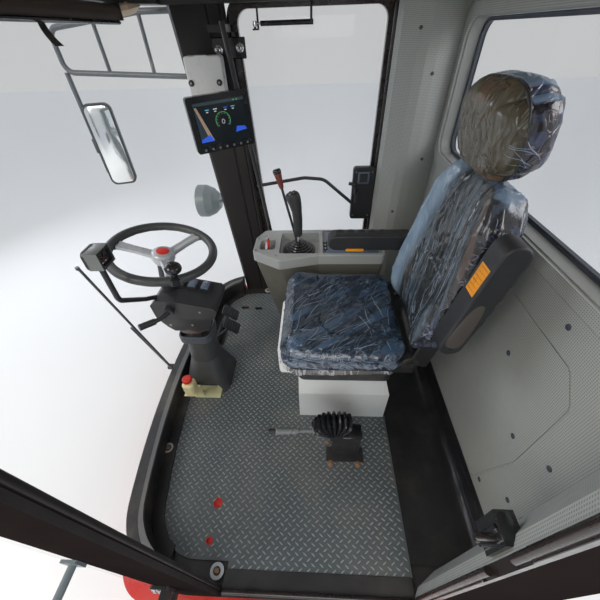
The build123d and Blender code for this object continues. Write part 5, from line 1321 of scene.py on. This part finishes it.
# Lamps, mirrors and reservoir.
def make_lamps():
    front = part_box("work_lamps")[1].x
    for s, side in ((1, "left"), (-1, "right")):
        y, z = s * 0.942, FLOOR + 0.6
        parts = Build()
        parts.stud((front - 0.004, y, z), FRONT, [(-0.001, 0.086), (0.003, 0.086), (0.006, 0.07), (0.0075, 0)], 48)
        parts.turned((front - 0.006, y, z), FRONT,
                     [(0, 0.085), (0, 0.0975), (0.008, 0.0965), (0.01, 0.092), (0.01, 0.085)], 48, 1)
        for a in (math.radians(45 + 90 * k) for k in range(4)):
            parts.block((front + 0.003, y + 0.032 * math.cos(a), z + 0.032 * math.sin(a)), (0.004, 0.034, 0.034),
                        2, 0.002)
        parts.make(f"lamp_lens_{side}", ["lamp_glass", "plastic", "chrome"])


def make_mirrors():
    """Silvered panes in the mirror cases, facing back to the driver, and the rubber round them."""
    loop = rounded_loop(0.061, -0.195, 0.195, 0.03, 0, 6)
    for s, side in ((1, "left"), (-1, "right")):
        place = Matrix.Translation(over_floor(1.146, s * 0.897, 0.945)) @ Matrix.Rotation(math.radians(71 * s), 4, "Z")

        def pane(x, wide, high):
            return [place @ Vector((x, p.y * wide, p.z * high)) for p in loop]

        parts = Build()
        parts.rings([pane(-0.0225, 1, 1), pane(-0.0242, 1, 1), pane(-0.0246, 0.985, 0.99)])
        parts.swept(pane(-0.0235, 1.03, 1.015), 0.0035, 8, 1, closed=True)
        parts.make(f"mirror_pane_{side}", ["mirror", "plastic"])


def make_reservoir():
    """Ribs round the bottle's cap and the disc on its top."""
    x, y, h, r = 0.592, 0.122, 0.184, 0.0212
    parts = Build()
    for a in turns(24):
        parts.block(over_floor(x + r * math.cos(a), y + r * math.sin(a), h + 0.009), (0.0022, 0.0022, 0.015), 0, 0.0006,
                    Matrix.Rotation(a, 3, "Z"))
    parts.stud(over_floor(x, y, h + 0.0195), UP, [(0, 0.014), (0.002, 0.013)], 28)
    parts.make("cap_ribs", ["red_plastic"])


# Stage and light.
def make_stage():
    g, pale = Graph("stage_floor"), colour(222, 222, 220)
    g.finish(g.mix(g.noise(1.2, 3), scaled(pale, 0.99), scaled(pale, 1.01)), 0.9)
    mesh = bpy.data.meshes.new("stage_floor")
    s, z = 14, -0.001
    mesh.from_pydata([(-s, -s, z), (s, -s, z), (s, s, z), (-s, s, z)], [], [[0, 1, 2, 3]])
    mesh.materials.append(g.mat)
    obj = bpy.data.objects.new("stage_floor", mesh)
    scene.collection.objects.link(obj)


def make_world():
    """A pale sky for light, and an even grey where the camera, glass or a reflection looks at it."""
    scene.world = bpy.data.worlds.new("world")
    scene.world.use_nodes = True
    tree = scene.world.node_tree
    tree.nodes.clear()

    def node(kind, *links, **values):
        made = tree.nodes.new("ShaderNode" + kind)
        for socket, link in zip(made.inputs, links):
            tree.links.new(link, socket)
        for key, value in values.items():
            made.inputs[key].default_value = value
        return made

    path = node("LightPath").outputs
    seen = path["Is Camera Ray"]
    for kind in ("Is Transmission Ray", "Is Glossy Ray"):
        most = node("Math", seen, path[kind])
        most.operation = "MAXIMUM"
        seen = most.outputs[0]
    lit = node("Background", Color=colour(236, 241, 250), Strength=0.92).outputs[0]
    shown = node("Background", Color=colour(205, 206, 207), Strength=1.0).outputs[0]
    node("OutputWorld", node("MixShader", seen, lit, shown).outputs[0])


def lamp(name, place, target, size, power, tint=(255, 255, 255)):
    """A soft square light aimed at a point."""
    data = bpy.data.lights.new(name, "AREA")
    data.energy, data.size, data.color = power, size, colour(*tint)[:3]
    obj = bpy.data.objects.new(name, data)
    obj.location = place
    obj.rotation_euler = (Vector(target) - Vector(place)).to_track_quat("-Z", "Y").to_euler()
    scene.collection.objects.link(obj)


def make_light():
    """A warm soft key from the front left, fills through the open door, the windscreen and the rear window."""
    make_world()
    lamp("key", (2.6, 2.4, 3.2), (0.1, 0.0, 0.6), 1.4, 84, (255, 246, 232))
    lamp("door_fill", (0.1, 2.9, 2.3), (0.0, 0.0, 0.6), 1.8, 34)
    lamp("front_fill", (3.0, -1.2, 1.9), (0.0, 0.0, 0.9), 1.8, 38, (236, 242, 255))
    lamp("rear_fill", (-2.6, 0.6, 2.3), (0.1, 0.0, 0.9), 1.4, 30)


for make in (make_seat, make_armrests, make_tread, make_floor_details, make_wheel, make_column, make_console,
             make_display, make_relay_details, make_door_details, make_seals, make_header, make_wall_details,
             make_kerb_band, make_brake, make_lamps, make_mirrors, make_reservoir, make_stage, make_light):
    make()
scene.view_settings.view_transform = "Standard"
